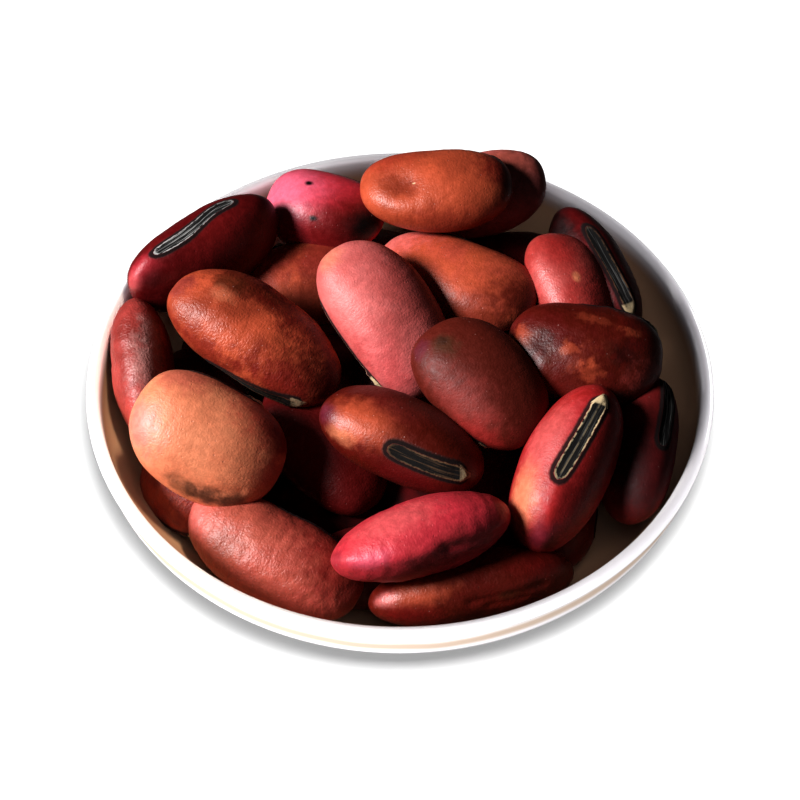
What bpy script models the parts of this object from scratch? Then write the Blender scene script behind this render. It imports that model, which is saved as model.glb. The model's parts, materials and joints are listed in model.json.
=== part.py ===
"""Bowl of large dried beans: a shallow glazed dish with a foot ring, heaped with whole dried beans.

Units are metres. The dish stands on z = 0 and is turned about the Z axis; +Y is the back of the heap.
Places and sizes below are in millimetres and MM turns them into metres.
"""
import math

import bmesh
import bpy
from mathutils import Euler, Matrix, Vector

MM = 0.001

# Dish: a turned shell with a round bead for a lip and a ring for a foot.
DISH_RADIUS = 55.0
LIP_BEAD_RADIUS = 1.2
LIP_HEIGHT = 32.0
LIP_BEAD_HEIGHT = LIP_HEIGHT - LIP_BEAD_RADIUS
LIP_BEAD_PATH_RADIUS = DISH_RADIUS - LIP_BEAD_RADIUS
WALL_TOP = 29.5
WALL_FULLNESS = 1.75
OUTER_WALL_RADIUS = 53.6
OUTER_WALL_CENTRE = 24.0
UNDERSIDE = 4.0
INNER_WALL_RADIUS = 52.4
INNER_WALL_CENTRE = 23.0
FLOOR = 6.5
FOOT_OUTER_RADIUS = 28.5
FOOT_INNER_RADIUS = 25.5
FOOT_ROUNDING = 0.6
FOOT_RECESS = 3.0
TURNED_STEPS = 56
WALL_POINTS = 9
BEAD_POINTS = 6
BEAD_INNER_ANGLE = 140.0
BEAD_OUTER_ANGLE = -70.0
WELD_DISTANCE = 0.02

# Beans: one rounded kidney outline, flatter one way than the other. The powers square its
# outline off a little and keep its edge round; the bend lifts its ends towards the seed scar.
BEAN_SEGMENTS = 14
BEAN_RINGS = 10
BURIED_BEAN_SEGMENTS = 10
BURIED_BEAN_RINGS = 7
BEAN_OUTLINE_POWER = 2.4
BEAN_EDGE_POWER = 2.0
BEAN_BEND = 0.10
BEAN_BEND_REST = 0.4

# The pile under the beans that show, kept clear of the dish.
DISH_CLEARANCE = 0.45
CORE_SHOULDER_RADIUS = 33.0
CORE_SHOULDER_HEIGHT = 11.0
CORE_SHOULDER_DROP = 1.0
CORE_TOP = 23.0
CORE_POINTS = 7

# Each bean that shows: place of its middle, heading of its long axis, tilt of that axis,
# roll about it (0 lies flat), then length, width and thickness.
BEANS = {
    "left_back": (-35.5, 26.0, 34.5, 36, 4, 75, 31.0, 16.5, 13.0),
    "pink_back": (-14.0, 38.5, 32.5, -21, 6, 15, 23.0, 15.5, 12.5),
    "dented_top": (6.5, 36.5, 40.5, -2, 3, 5, 28.0, 17.0, 12.0),
    "far_back": (14.0, 42.0, 33.5, 2, 14, 8, 27.0, 17.0, 11.5),
    "pink_middle": (-2.5, 10.5, 34.5, 127, 25, -5, 31.0, 18.0, 13.0),
    "orange_middle": (10.0, 22.0, 31.5, -31, 6, 5, 32.0, 17.5, 12.5),
    "shaded_back": (18.5, 32.0, 23.0, 10, 0, 5, 26.0, 16.0, 12.0),
    "orange_back": (-18.5, 26.5, 25.5, 15, 5, 20, 28.0, 17.0, 12.5),
    "brown_left": (-25.5, 6.5, 34.0, 149, 16, -10, 34.0, 17.5, 13.0),
    "left_edge": (-45.5, 3.0, 29.0, 97, 12, 82, 27.0, 16.5, 11.0),
    "tan_left": (-33.0, -16.0, 33.5, -24, -18, 28, 27.5, 20.5, 13.0),
    "wrinkled_front": (-21.5, -32.0, 22.0, -30, -6, 25, 33.0, 16.0, 12.5),
    "red_middle": (-13.5, -9.5, 22.0, 130, 8, 0, 28.0, 17.0, 12.0),
    "purple_ended": (0.5, -15.5, 32.5, 153, 6, 29, 30.0, 17.0, 14.0),
    "pink_front": (3.5, -34.0, 30.0, 19, 3, -45, 31.0, 17.0, 12.5),
    "brown_front": (12.0, -38.0, 21.0, 11, 2, -55, 35.0, 14.0, 12.5),
    "dusty_middle": (14.0, -6.5, 37.0, 135, 14, -12, 26.5, 18.0, 12.5),
    "mottled_right": (32.0, 0.0, 37.0, -10, -2, 20, 27.0, 18.5, 13.0),
    "red_right": (31.0, 19.0, 32.0, 109, 12, 25, 24.0, 15.5, 12.0),
    "right_back": (35.5, 26.0, 28.5, -66, -8, 90, 29.0, 17.0, 12.5),
    "upright_right": (28.0, -21.0, 31.5, 63, 25, 115, 31.0, 18.0, 15.5),
    "right_edge": (41.0, -14.5, 28.5, 83, 8, 130, 28.0, 15.5, 12.0),
}

# Beans that show only in the gaps between the others, in the same order of numbers.
BURIED_BEANS = {
    "low_left": (-34.5, -15.0, 20.5, -50, 0, 30, 20.0, 14.0, 11.0),
    "low_right": (27.5, -22.0, 18.0, 80, 0, 0, 20.0, 13.0, 11.0),
    "deep_left": (-18.0, 20.5, 17.5, 20, 0, 0, 26.0, 16.0, 12.0),
    "deep_right": (17.5, -12.5, 17.0, 80, 0, 0, 26.0, 16.0, 12.0),
    "under_left": (-36.0, 3.0, 18.5, 95, 0, 8, 26.0, 16.0, 12.0),
    "under_left_back": (-29.0, 20.5, 20.0, 50, 0, -8, 26.0, 16.0, 12.0),
    "under_back": (-7.0, 36.0, 20.5, -8, 0, 5, 27.0, 16.0, 12.0),
    "under_right_back": (27.0, 20.0, 18.0, 118, 0, 0, 26.0, 16.0, 12.0),
    "under_right": (36.5, -3.5, 20.0, 80, 0, -10, 27.0, 16.0, 12.0),
    "under_front": (-3.0, -30.0, 17.0, 15, 0, 8, 27.0, 16.0, 12.0),
    "under_front_right": (13.0, -26.5, 16.5, -15, 0, 0, 24.0, 15.0, 12.0),
    "under_middle": (1.0, 7.0, 22.0, 70, 0, 10, 27.0, 17.0, 12.0),
    "under_middle_right": (18.0, 4.0, 23.0, 115, 4, -5, 26.0, 16.0, 12.0),
    "under_middle_left": (-15.0, 5.0, 21.0, 60, 0, 5, 25.0, 16.0, 12.0),
}


def clear_scene():
    """Remove every object of the start-up scene."""
    for item in list(bpy.data.objects):
        bpy.data.objects.remove(item, do_unlink=True)


def new_collection(name):
    """Return a new collection of this name in the scene."""
    collection = bpy.data.collections.new(name)
    bpy.context.scene.collection.children.link(collection)
    return collection


def new_material(name, colour, roughness, metallic=0.0):
    """Return a Principled material."""
    material = bpy.data.materials.new(name)
    material.use_nodes = True
    shader = material.node_tree.nodes["Principled BSDF"]
    shader.inputs["Base Color"].default_value = (*colour, 1.0)
    shader.inputs["Roughness"].default_value = roughness
    shader.inputs["Metallic"].default_value = metallic
    return material


def add_mesh(name, mesh, collection):
    """Link a new object that holds this mesh."""
    item = bpy.data.objects.new(name, mesh)
    collection.objects.link(item)
    return item


def apply_modifiers(item):
    """Turn an object's modifiers into plain mesh."""
    graph = bpy.context.evaluated_depsgraph_get()
    mesh = bpy.data.meshes.new_from_object(item.evaluated_get(graph), depsgraph=graph)
    old_mesh = item.data
    item.modifiers.clear()
    item.data = mesh
    bpy.data.meshes.remove(old_mesh)


def wall_arc(centre, radius, low, angles):
    """Return (radius, height) points on the full, rounded curve that the dish's wall follows."""
    power = 2.0 / WALL_FULLNESS
    points = []
    for angle in angles:
        out = (radius - centre) * math.cos(angle) ** power
        down = (WALL_TOP - low) * math.sin(angle) ** power
        points.append((centre + out, WALL_TOP - down))
    return points


def spaced(start, end, count):
    """Return evenly spaced values from start to end, both included."""
    return [start + (end - start) * step / (count - 1) for step in range(count)]


def inner_wall(inset=0.0):
    """Return the inside of the dish's wall from its top down to the floor, drawn in by an inset."""
    quarter = spaced(0.0, math.pi / 2, WALL_POINTS)
    return wall_arc(INNER_WALL_CENTRE - inset, INNER_WALL_RADIUS - inset, FLOOR + inset, quarter)


def dish_profile():
    """Return the dish's outline, from its floor up the inside, down its outer side and under the foot."""
    inner_lip = LIP_BEAD_PATH_RADIUS - LIP_BEAD_RADIUS
    outline = [(0.0, FLOOR)]
    outline += list(reversed(inner_wall()))
    outline.append((inner_lip, LIP_BEAD_HEIGHT))
    for angle in spaced(math.radians(BEAD_INNER_ANGLE), math.radians(BEAD_OUTER_ANGLE), BEAD_POINTS):
        outline.append(
            (
                LIP_BEAD_PATH_RADIUS + LIP_BEAD_RADIUS * math.cos(angle),
                LIP_BEAD_HEIGHT + LIP_BEAD_RADIUS * math.sin(angle),
            )
        )
    quarter = spaced(0.0, math.pi / 2, WALL_POINTS)
    outer = wall_arc(OUTER_WALL_CENTRE, OUTER_WALL_RADIUS, UNDERSIDE, quarter)
    outline += [point for point in outer if point[0] > FOOT_OUTER_RADIUS + FOOT_ROUNDING]
    outline += [
        (FOOT_OUTER_RADIUS, UNDERSIDE),
        (FOOT_OUTER_RADIUS, FOOT_ROUNDING),
        (FOOT_OUTER_RADIUS - FOOT_ROUNDING, 0.0),
        (FOOT_INNER_RADIUS + FOOT_ROUNDING, 0.0),
        (FOOT_INNER_RADIUS, FOOT_ROUNDING),
        (FOOT_INNER_RADIUS, FOOT_RECESS),
        (0.0, FOOT_RECESS),
    ]
    return outline


def turned_mesh(name, outline, collection):
    """Turn an outline of (radius, height) points in millimetres about the Z axis."""
    mesh = bpy.data.meshes.new(name)
    points = [(radius * MM, 0.0, height * MM) for radius, height in outline]
    edges = [(index, index + 1) for index in range(len(points) - 1)]
    mesh.from_pydata(points, edges, [])
    item = add_mesh(name, mesh, collection)
    screw = item.modifiers.new("turn", "SCREW")
    screw.axis = "Z"
    screw.steps = TURNED_STEPS
    screw.render_steps = TURNED_STEPS
    screw.use_merge_vertices = True
    screw.merge_threshold = WELD_DISTANCE * MM
    screw.use_normal_calculate = True
    apply_modifiers(item)
    return item


def tidy_solid(item):
    """Merge points that all but touch, drop slivers and face every side outward."""
    solid = bmesh.new()
    solid.from_mesh(item.data)
    bmesh.ops.remove_doubles(solid, verts=solid.verts, dist=WELD_DISTANCE * MM)
    bmesh.ops.dissolve_degenerate(solid, edges=solid.edges, dist=WELD_DISTANCE * MM)
    bmesh.ops.recalc_face_normals(solid, faces=solid.faces)
    if solid.calc_volume(signed=True) < 0:
        bmesh.ops.reverse_faces(solid, faces=solid.faces)
    solid.to_mesh(item.data)
    solid.free()


def build_dish(collection):
    """Make the dish."""
    glaze = new_material("white_glaze", (0.93, 0.92, 0.91), 0.18)
    dish = turned_mesh("dish", dish_profile(), collection)
    dish.data.materials.append(glaze)
    tidy_solid(dish)
    return dish


def bean_point(direction, length, width, thickness):
    """Return the point on a bean's skin that lies this way from its middle."""
    flat = abs(direction.x) ** BEAN_OUTLINE_POWER + abs(direction.y) ** BEAN_OUTLINE_POWER
    swell = flat ** (BEAN_EDGE_POWER / BEAN_OUTLINE_POWER) + abs(direction.z) ** BEAN_EDGE_POWER
    point = direction / swell ** (1.0 / BEAN_EDGE_POWER)
    bend = BEAN_BEND * (point.x**2 - BEAN_BEND_REST)
    return Vector((point.x * length / 2, (point.y + bend) * width / 2, point.z * thickness / 2))


def bean_mesh(name, place, segments, rings):
    """Return a bean's mesh with few sides, where the table puts it."""
    x, y, z, heading, tilt, roll, length, width, thickness = place
    turn = Euler((math.radians(roll), math.radians(-tilt), math.radians(heading)), "XYZ")
    matrix = Matrix.Translation(Vector((x, y, z)) * MM) @ turn.to_matrix().to_4x4()
    solid = bmesh.new()
    poles_on_long_axis = Matrix.Rotation(math.pi / 2, 4, "Y")
    bmesh.ops.create_uvsphere(
        solid, u_segments=segments, v_segments=rings, radius=1.0, matrix=poles_on_long_axis
    )
    for corner in solid.verts:
        corner.co = bean_point(corner.co.normalized(), length, width, thickness) * MM
    bmesh.ops.triangulate(solid, faces=solid.faces)
    solid.transform(matrix)
    mesh = bpy.data.meshes.new(name)
    solid.to_mesh(mesh)
    solid.free()
    return mesh


def keep_outer_skin(item):
    """Keep only the largest closed skin, which fills hollows and drops loose scraps."""
    solid = bmesh.new()
    solid.from_mesh(item.data)
    waiting = set(solid.faces)
    skins = []
    while waiting:
        edge_of_skin = [waiting.pop()]
        skin = set(edge_of_skin)
        while edge_of_skin:
            face = edge_of_skin.pop()
            for edge in face.edges:
                for other in edge.link_faces:
                    if other in waiting:
                        waiting.remove(other)
                        skin.add(other)
                        edge_of_skin.append(other)
        skins.append(skin)
    skins.sort(key=len, reverse=True)
    for skin in skins[1:]:
        bmesh.ops.delete(solid, geom=list(skin), context="FACES")
    solid.to_mesh(item.data)
    solid.free()


def core_profile():
    """Return the outline of the pile under the beans that show, from its top to its foot."""
    outline = []
    for angle in spaced(math.pi / 2, 0.0, CORE_POINTS):
        rise = CORE_TOP - CORE_SHOULDER_HEIGHT
        outline.append(
            (CORE_SHOULDER_RADIUS * math.cos(angle), CORE_SHOULDER_HEIGHT + rise * math.sin(angle))
        )
    outline[0] = (0.0, CORE_TOP)
    low = [
        point for point in inner_wall(DISH_CLEARANCE)
        if point[1] < CORE_SHOULDER_HEIGHT - CORE_SHOULDER_DROP and point[0] < CORE_SHOULDER_RADIUS
    ]
    outline += low
    outline.append((0.0, FLOOR + DISH_CLEARANCE))
    return outline


def build_beans(collection, cutters):
    """Make the heap: a core with every bean that shows fused on, as one solid."""
    skin = new_material("bean_skin", (0.30, 0.055, 0.035), 0.42)
    beans = turned_mesh("beans", core_profile(), collection)
    beans.data.materials.append(skin)
    tidy_solid(beans)
    for name, place in BEANS.items():
        add_mesh(name, bean_mesh(name, place, BEAN_SEGMENTS, BEAN_RINGS), cutters)
    for name, place in BURIED_BEANS.items():
        mesh = bean_mesh(name, place, BURIED_BEAN_SEGMENTS, BURIED_BEAN_RINGS)
        add_mesh(name, mesh, cutters)
    union = beans.modifiers.new("heap", "BOOLEAN")
    union.operation = "UNION"
    union.operand_type = "COLLECTION"
    union.collection = cutters
    union.solver = "MANIFOLD"
    apply_modifiers(beans)
    for item in list(cutters.objects):
        bpy.data.objects.remove(item, do_unlink=True)
    bpy.data.collections.remove(cutters)
    tidy_solid(beans)
    keep_outer_skin(beans)
    return beans


def main():
    """Build the whole object."""
    clear_scene()
    collection = new_collection("bowl_of_dried_beans")
    cutters = new_collection("cutters")
    build_dish(collection)
    build_beans(collection, cutters)


main()
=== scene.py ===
"""Bowl of large dried beans: a shallow glazed dish heaped with whole beans, dressed over its solid model.

Laid out as an add-on and run as a script. Scene units are metres. Places and sizes in the tables
are in millimetres, angles in degrees, and MM turns them into metres. Lamps alone are in metres.
"""
import json
import math
from typing import NamedTuple

import bmesh
import bpy
from mathutils import Euler, Matrix, Vector, noise

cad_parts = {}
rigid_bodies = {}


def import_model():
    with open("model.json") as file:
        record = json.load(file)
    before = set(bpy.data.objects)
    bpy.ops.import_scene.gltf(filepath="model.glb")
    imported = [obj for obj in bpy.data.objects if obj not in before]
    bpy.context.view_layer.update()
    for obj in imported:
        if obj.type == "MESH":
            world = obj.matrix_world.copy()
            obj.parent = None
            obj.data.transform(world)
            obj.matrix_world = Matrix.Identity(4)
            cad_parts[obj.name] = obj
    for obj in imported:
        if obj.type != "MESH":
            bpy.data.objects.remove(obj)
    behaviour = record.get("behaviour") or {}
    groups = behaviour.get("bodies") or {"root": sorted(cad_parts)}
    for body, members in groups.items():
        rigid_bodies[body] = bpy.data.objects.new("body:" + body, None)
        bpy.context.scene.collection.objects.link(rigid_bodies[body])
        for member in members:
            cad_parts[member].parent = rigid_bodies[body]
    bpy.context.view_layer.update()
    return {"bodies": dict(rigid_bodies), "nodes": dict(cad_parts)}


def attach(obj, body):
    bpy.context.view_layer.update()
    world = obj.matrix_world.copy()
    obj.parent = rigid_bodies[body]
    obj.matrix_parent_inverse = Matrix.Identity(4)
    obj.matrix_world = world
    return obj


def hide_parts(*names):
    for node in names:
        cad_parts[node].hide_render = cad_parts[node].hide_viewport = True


bl_info = {
    "name": "Bowl of dried beans",
    "version": (1, 0, 0),
    "blender": (4, 5, 0),
    "location": "View3D > Sidebar > Beans",
    "description": "Makes a shallow glazed dish heaped with large dried beans",
    "category": "Object",
}

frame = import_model()

MM = 0.001
BODY = "root"
GLAZE_SLOT = "white_glaze"
SKIN_SLOT = "bean_skin"
WHITE = (1.0, 1.0, 1.0, 1.0)
UNLIT = (0.0, 0.0, 0.0, 1.0)

# Dish, as turned in the solid model but with finer steps and a soft shoulder on its outer wall.
LIP_BEAD_HEIGHT = 30.8
LIP_BEAD_PATH_RADIUS = 53.75
WALL_TOP = 29.5
WALL_FULLNESS = 1.75
OUTER_WALL_RADIUS = 53.6
OUTER_WALL_CENTRE = 24.0
SHOULDER_HEIGHT = 25.3
SHOULDER_REACH = 2.4
SHOULDER_SWELL = 0.85
UNDERSIDE = 4.0
INNER_WALL_RADIUS = 52.4
INNER_WALL_CENTRE = 23.0
FLOOR = 6.5
FOOT_OUTER_RADIUS = 28.5
FOOT_INNER_RADIUS = 25.5
FOOT_ROUNDING = 0.6
FOOT_RECESS = 3.0
FOOT_ROUNDING_POINTS = 5
TURNED_STEPS = 224
WALL_POINTS = 44
BEAD_POINTS = 22
BEAD_INNER_ANGLE = 165.0
BEAD_OUTER_ANGLE = -80.0
WELD_GAP = 0.005

# Finish of the dish, with a painted tan line of shade under the lip and painted tan shade down inside. Each
# edge is a height, a radius or an upward slope where a finish starts, then the one where it is full.
# Painted shade: a tan band on the outer wall just under the lip bead stands for the shade and warm
# reflection there.
LIP_SHADE_LOW_EDGE = (25.7, 26.9)
LIP_SHADE_HIGH_EDGE = (28.6, 27.4)
# Where the painted shade of the inner wall starts and where it is full.
PAINTED_SHADE_EDGE = (31.2, 27.5)
INNER_SIDE_SLOPE = (0.02, 0.08)
OUTER_SIDE_RADIUS = (53.0, 53.5)
BARE_RING_HEIGHT = (1.1, 0.7)
BARE_RING_RADIUS = (24.0, 24.6)
BARE_RING_ROUGHNESS = 0.85
GLAZE_WOBBLE = 0.25
GLAZE_WAVE_HEIGHT = 0.10
GLAZE_WAVE_STRENGTH = 0.25

# Core of the heap, hidden under the beans.
CORE_RADIUS = 32.0
CORE_LOW = 7.2
CORE_TOP = 20.0
CORE_STEPS = 96
CORE_POINTS = 24
CORE_LUMP = 1.6
CORE_LUMP_GAP = 9.0
CORE_FULLNESS = 0.7
CORE_ROUGHNESS = 0.8
CORE_SPECULAR = 0.15

# Every bean has one rounded kidney outline, flatter one way than the other.
BEAN_OUTLINE_POWER = 2.4
BEAN_EDGE_POWER = 2.0
BEAN_BEND = 0.10
BEAN_BEND_REST = 0.4
BEAN_CUTS = 39
BURIED_BEAN_CUTS = 19
SEED_STEP = 37.0

# Relief that every skin has, in millimetres: how far apart its swells, folds and pores lie.
SWELL_GAP = 8.0
FOLD_STRETCH = 0.3
FOLD_WANDER = 0.8
FOLD_WANDER_GAP = 6.0
PORE_SHARE = 0.25
PORE_GAP = 0.9
LUMP_STRENGTH = 1.6

# Finish of every skin.
SKIN_SPECULAR = 0.36
SKIN_BUMP_HEIGHT = 0.30
SKIN_BUMP_STRENGTH = 0.9
SPECK_SHARE = 0.35
# How dark the painted shade in the groove round each scar is.
SCAR_GROOVE_SHADE_SHARE = 0.95
FELT_ROUGHNESS = 0.95

# Each bean that shows: place of its middle, heading of its long axis, tilt of that axis,
# roll about it (0 lies flat), then length, width and thickness.
BEANS = {
    "left_back": (-35.5, 26.0, 34.5, 36, 4, 75, 31.0, 16.5, 13.0),
    "pink_back": (-14.0, 38.5, 32.5, -21, 6, 15, 23.0, 15.5, 12.5),
    "dented_top": (6.5, 36.5, 40.5, -2, 3, 5, 28.0, 17.0, 12.0),
    "far_back": (14.0, 42.0, 33.5, 2, 14, 8, 27.0, 17.0, 11.5),
    "pink_middle": (-2.5, 10.5, 34.5, 127, 25, -5, 31.0, 18.0, 13.0),
    "orange_middle": (10.0, 22.0, 31.5, -31, 6, 5, 32.0, 17.5, 12.5),
    "shaded_back": (18.5, 32.0, 23.0, 10, 0, 5, 26.0, 16.0, 12.0),
    "orange_back": (-18.5, 26.5, 25.5, 15, 5, 20, 28.0, 17.0, 12.5),
    "brown_left": (-25.5, 6.5, 34.0, 149, 16, -10, 34.0, 17.5, 13.0),
    "left_edge": (-45.5, 3.0, 29.0, 97, 12, 82, 27.0, 16.5, 11.0),
    "tan_left": (-33.0, -16.0, 33.5, -24, -18, 28, 27.5, 20.5, 13.0),
    "wrinkled_front": (-21.5, -32.0, 22.0, -30, -6, 25, 33.0, 16.0, 12.5),
    "red_middle": (-13.5, -9.5, 22.0, 130, 8, 0, 28.0, 17.0, 12.0),
    "purple_ended": (0.5, -15.5, 32.5, 153, 6, 29, 30.0, 17.0, 14.0),
    "pink_front": (3.5, -34.0, 30.0, 19, 3, -45, 31.0, 17.0, 12.5),
    "brown_front": (12.0, -38.0, 21.0, 11, 2, -55, 35.0, 14.0, 12.5),
    "dusty_middle": (14.0, -6.5, 37.0, 135, 14, -12, 26.5, 18.0, 12.5),
    "mottled_right": (32.0, 0.0, 37.0, -10, -2, 20, 27.0, 18.5, 13.0),
    "red_right": (31.0, 19.0, 32.0, 109, 12, 25, 24.0, 15.5, 12.0),
    "right_back": (35.5, 26.0, 28.5, -66, -8, 90, 29.0, 17.0, 12.5),
    "upright_right": (28.0, -21.0, 31.5, 63, 25, 115, 31.0, 18.0, 15.5),
    "right_edge": (41.0, -14.5, 28.5, 83, 8, 130, 28.0, 15.5, 12.0),
}

# Beans that show only in the gaps between the others, in the same order of numbers.
BURIED_BEANS = {
    "low_left": (-37.3, -16.6, 20.5, -52, 0, 30, 20.0, 14.0, 11.0),
    "low_right": (27.5, -22.0, 18.0, 80, 0, 0, 20.0, 13.0, 11.0),
    "deep_left": (-18.0, 20.5, 17.5, 20, 0, 0, 26.0, 16.0, 12.0),
    "deep_right": (17.5, -12.5, 17.0, 80, 0, 0, 26.0, 16.0, 12.0),
    "under_left": (-36.0, 3.0, 18.5, 95, 0, 8, 26.0, 16.0, 12.0),
    "under_left_back": (-29.0, 20.5, 20.0, 50, 0, -8, 26.0, 16.0, 12.0),
    "under_back": (-7.0, 36.0, 20.5, -8, 0, 5, 27.0, 16.0, 12.0),
    "under_right_back": (27.0, 20.0, 18.0, 118, 0, 0, 26.0, 16.0, 12.0),
    "under_right": (36.5, -3.5, 20.0, 80, 0, -10, 27.0, 16.0, 12.0),
    "under_front": (-3.0, -30.0, 17.0, 15, 0, 8, 27.0, 16.0, 12.0),
    "under_front_right": (13.0, -26.5, 16.5, -15, 0, 0, 24.0, 15.0, 12.0),
    "under_middle": (1.0, 7.0, 22.0, 70, 0, 10, 27.0, 17.0, 12.0),
    "under_middle_right": (18.0, 4.0, 23.0, 115, 4, -5, 26.0, 16.0, 12.0),
    "under_middle_left": (-15.0, 5.0, 21.0, 60, 0, 5, 25.0, 16.0, 12.0),
}

# The pieces: each holds beans of much the same colour, and the last those that lie under the rest.
KINDS = {
    "maroon_beans": ("left_back", "left_edge", "shaded_back", "far_back", "right_back"),
    "pink_beans": ("pink_back", "pink_middle", "wrinkled_front", "pink_front"),
    "orange_beans": ("dented_top", "orange_middle", "orange_back", "brown_left", "tan_left"),
    "red_beans": ("red_middle", "red_right", "upright_right", "right_edge"),
    "brown_beans": ("purple_ended", "brown_front", "dusty_middle", "mottled_right"),
    "buried_beans": tuple(BURIED_BEANS),
}


class Look(NamedTuple):
    """What one bean's skin looks like. Points are on the bean's own scale of minus one to one."""

    skin: str
    mottle: str
    mottling: float = 0.4
    patches: tuple = ()
    roughness: float = 0.50
    wrinkling: float = 0.4
    ragged: float = 0.2
    scar: str = "dark"
    scar_from: float = -0.2
    scar_to: float = 0.85
    scar_side: int = 1
    scar_width: float = 1.0
    scar_lift: float = 0.0
    scar_slant: float = 0.0
    scar_wave: float = 0.0


class Relief(NamedTuple):
    """How one bean's skin rises and falls, in millimetres. Points are on the scale of one."""

    uneven: float = 0.28
    wrinkle: float = 0.05
    wrinkle_gap: float = 2.2
    lump: float = 0.0
    lump_gap: float = 2.5
    taper: float = 0.04
    dents: tuple = ()
    creases: tuple = ()
    sink: float = 0.0
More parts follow.
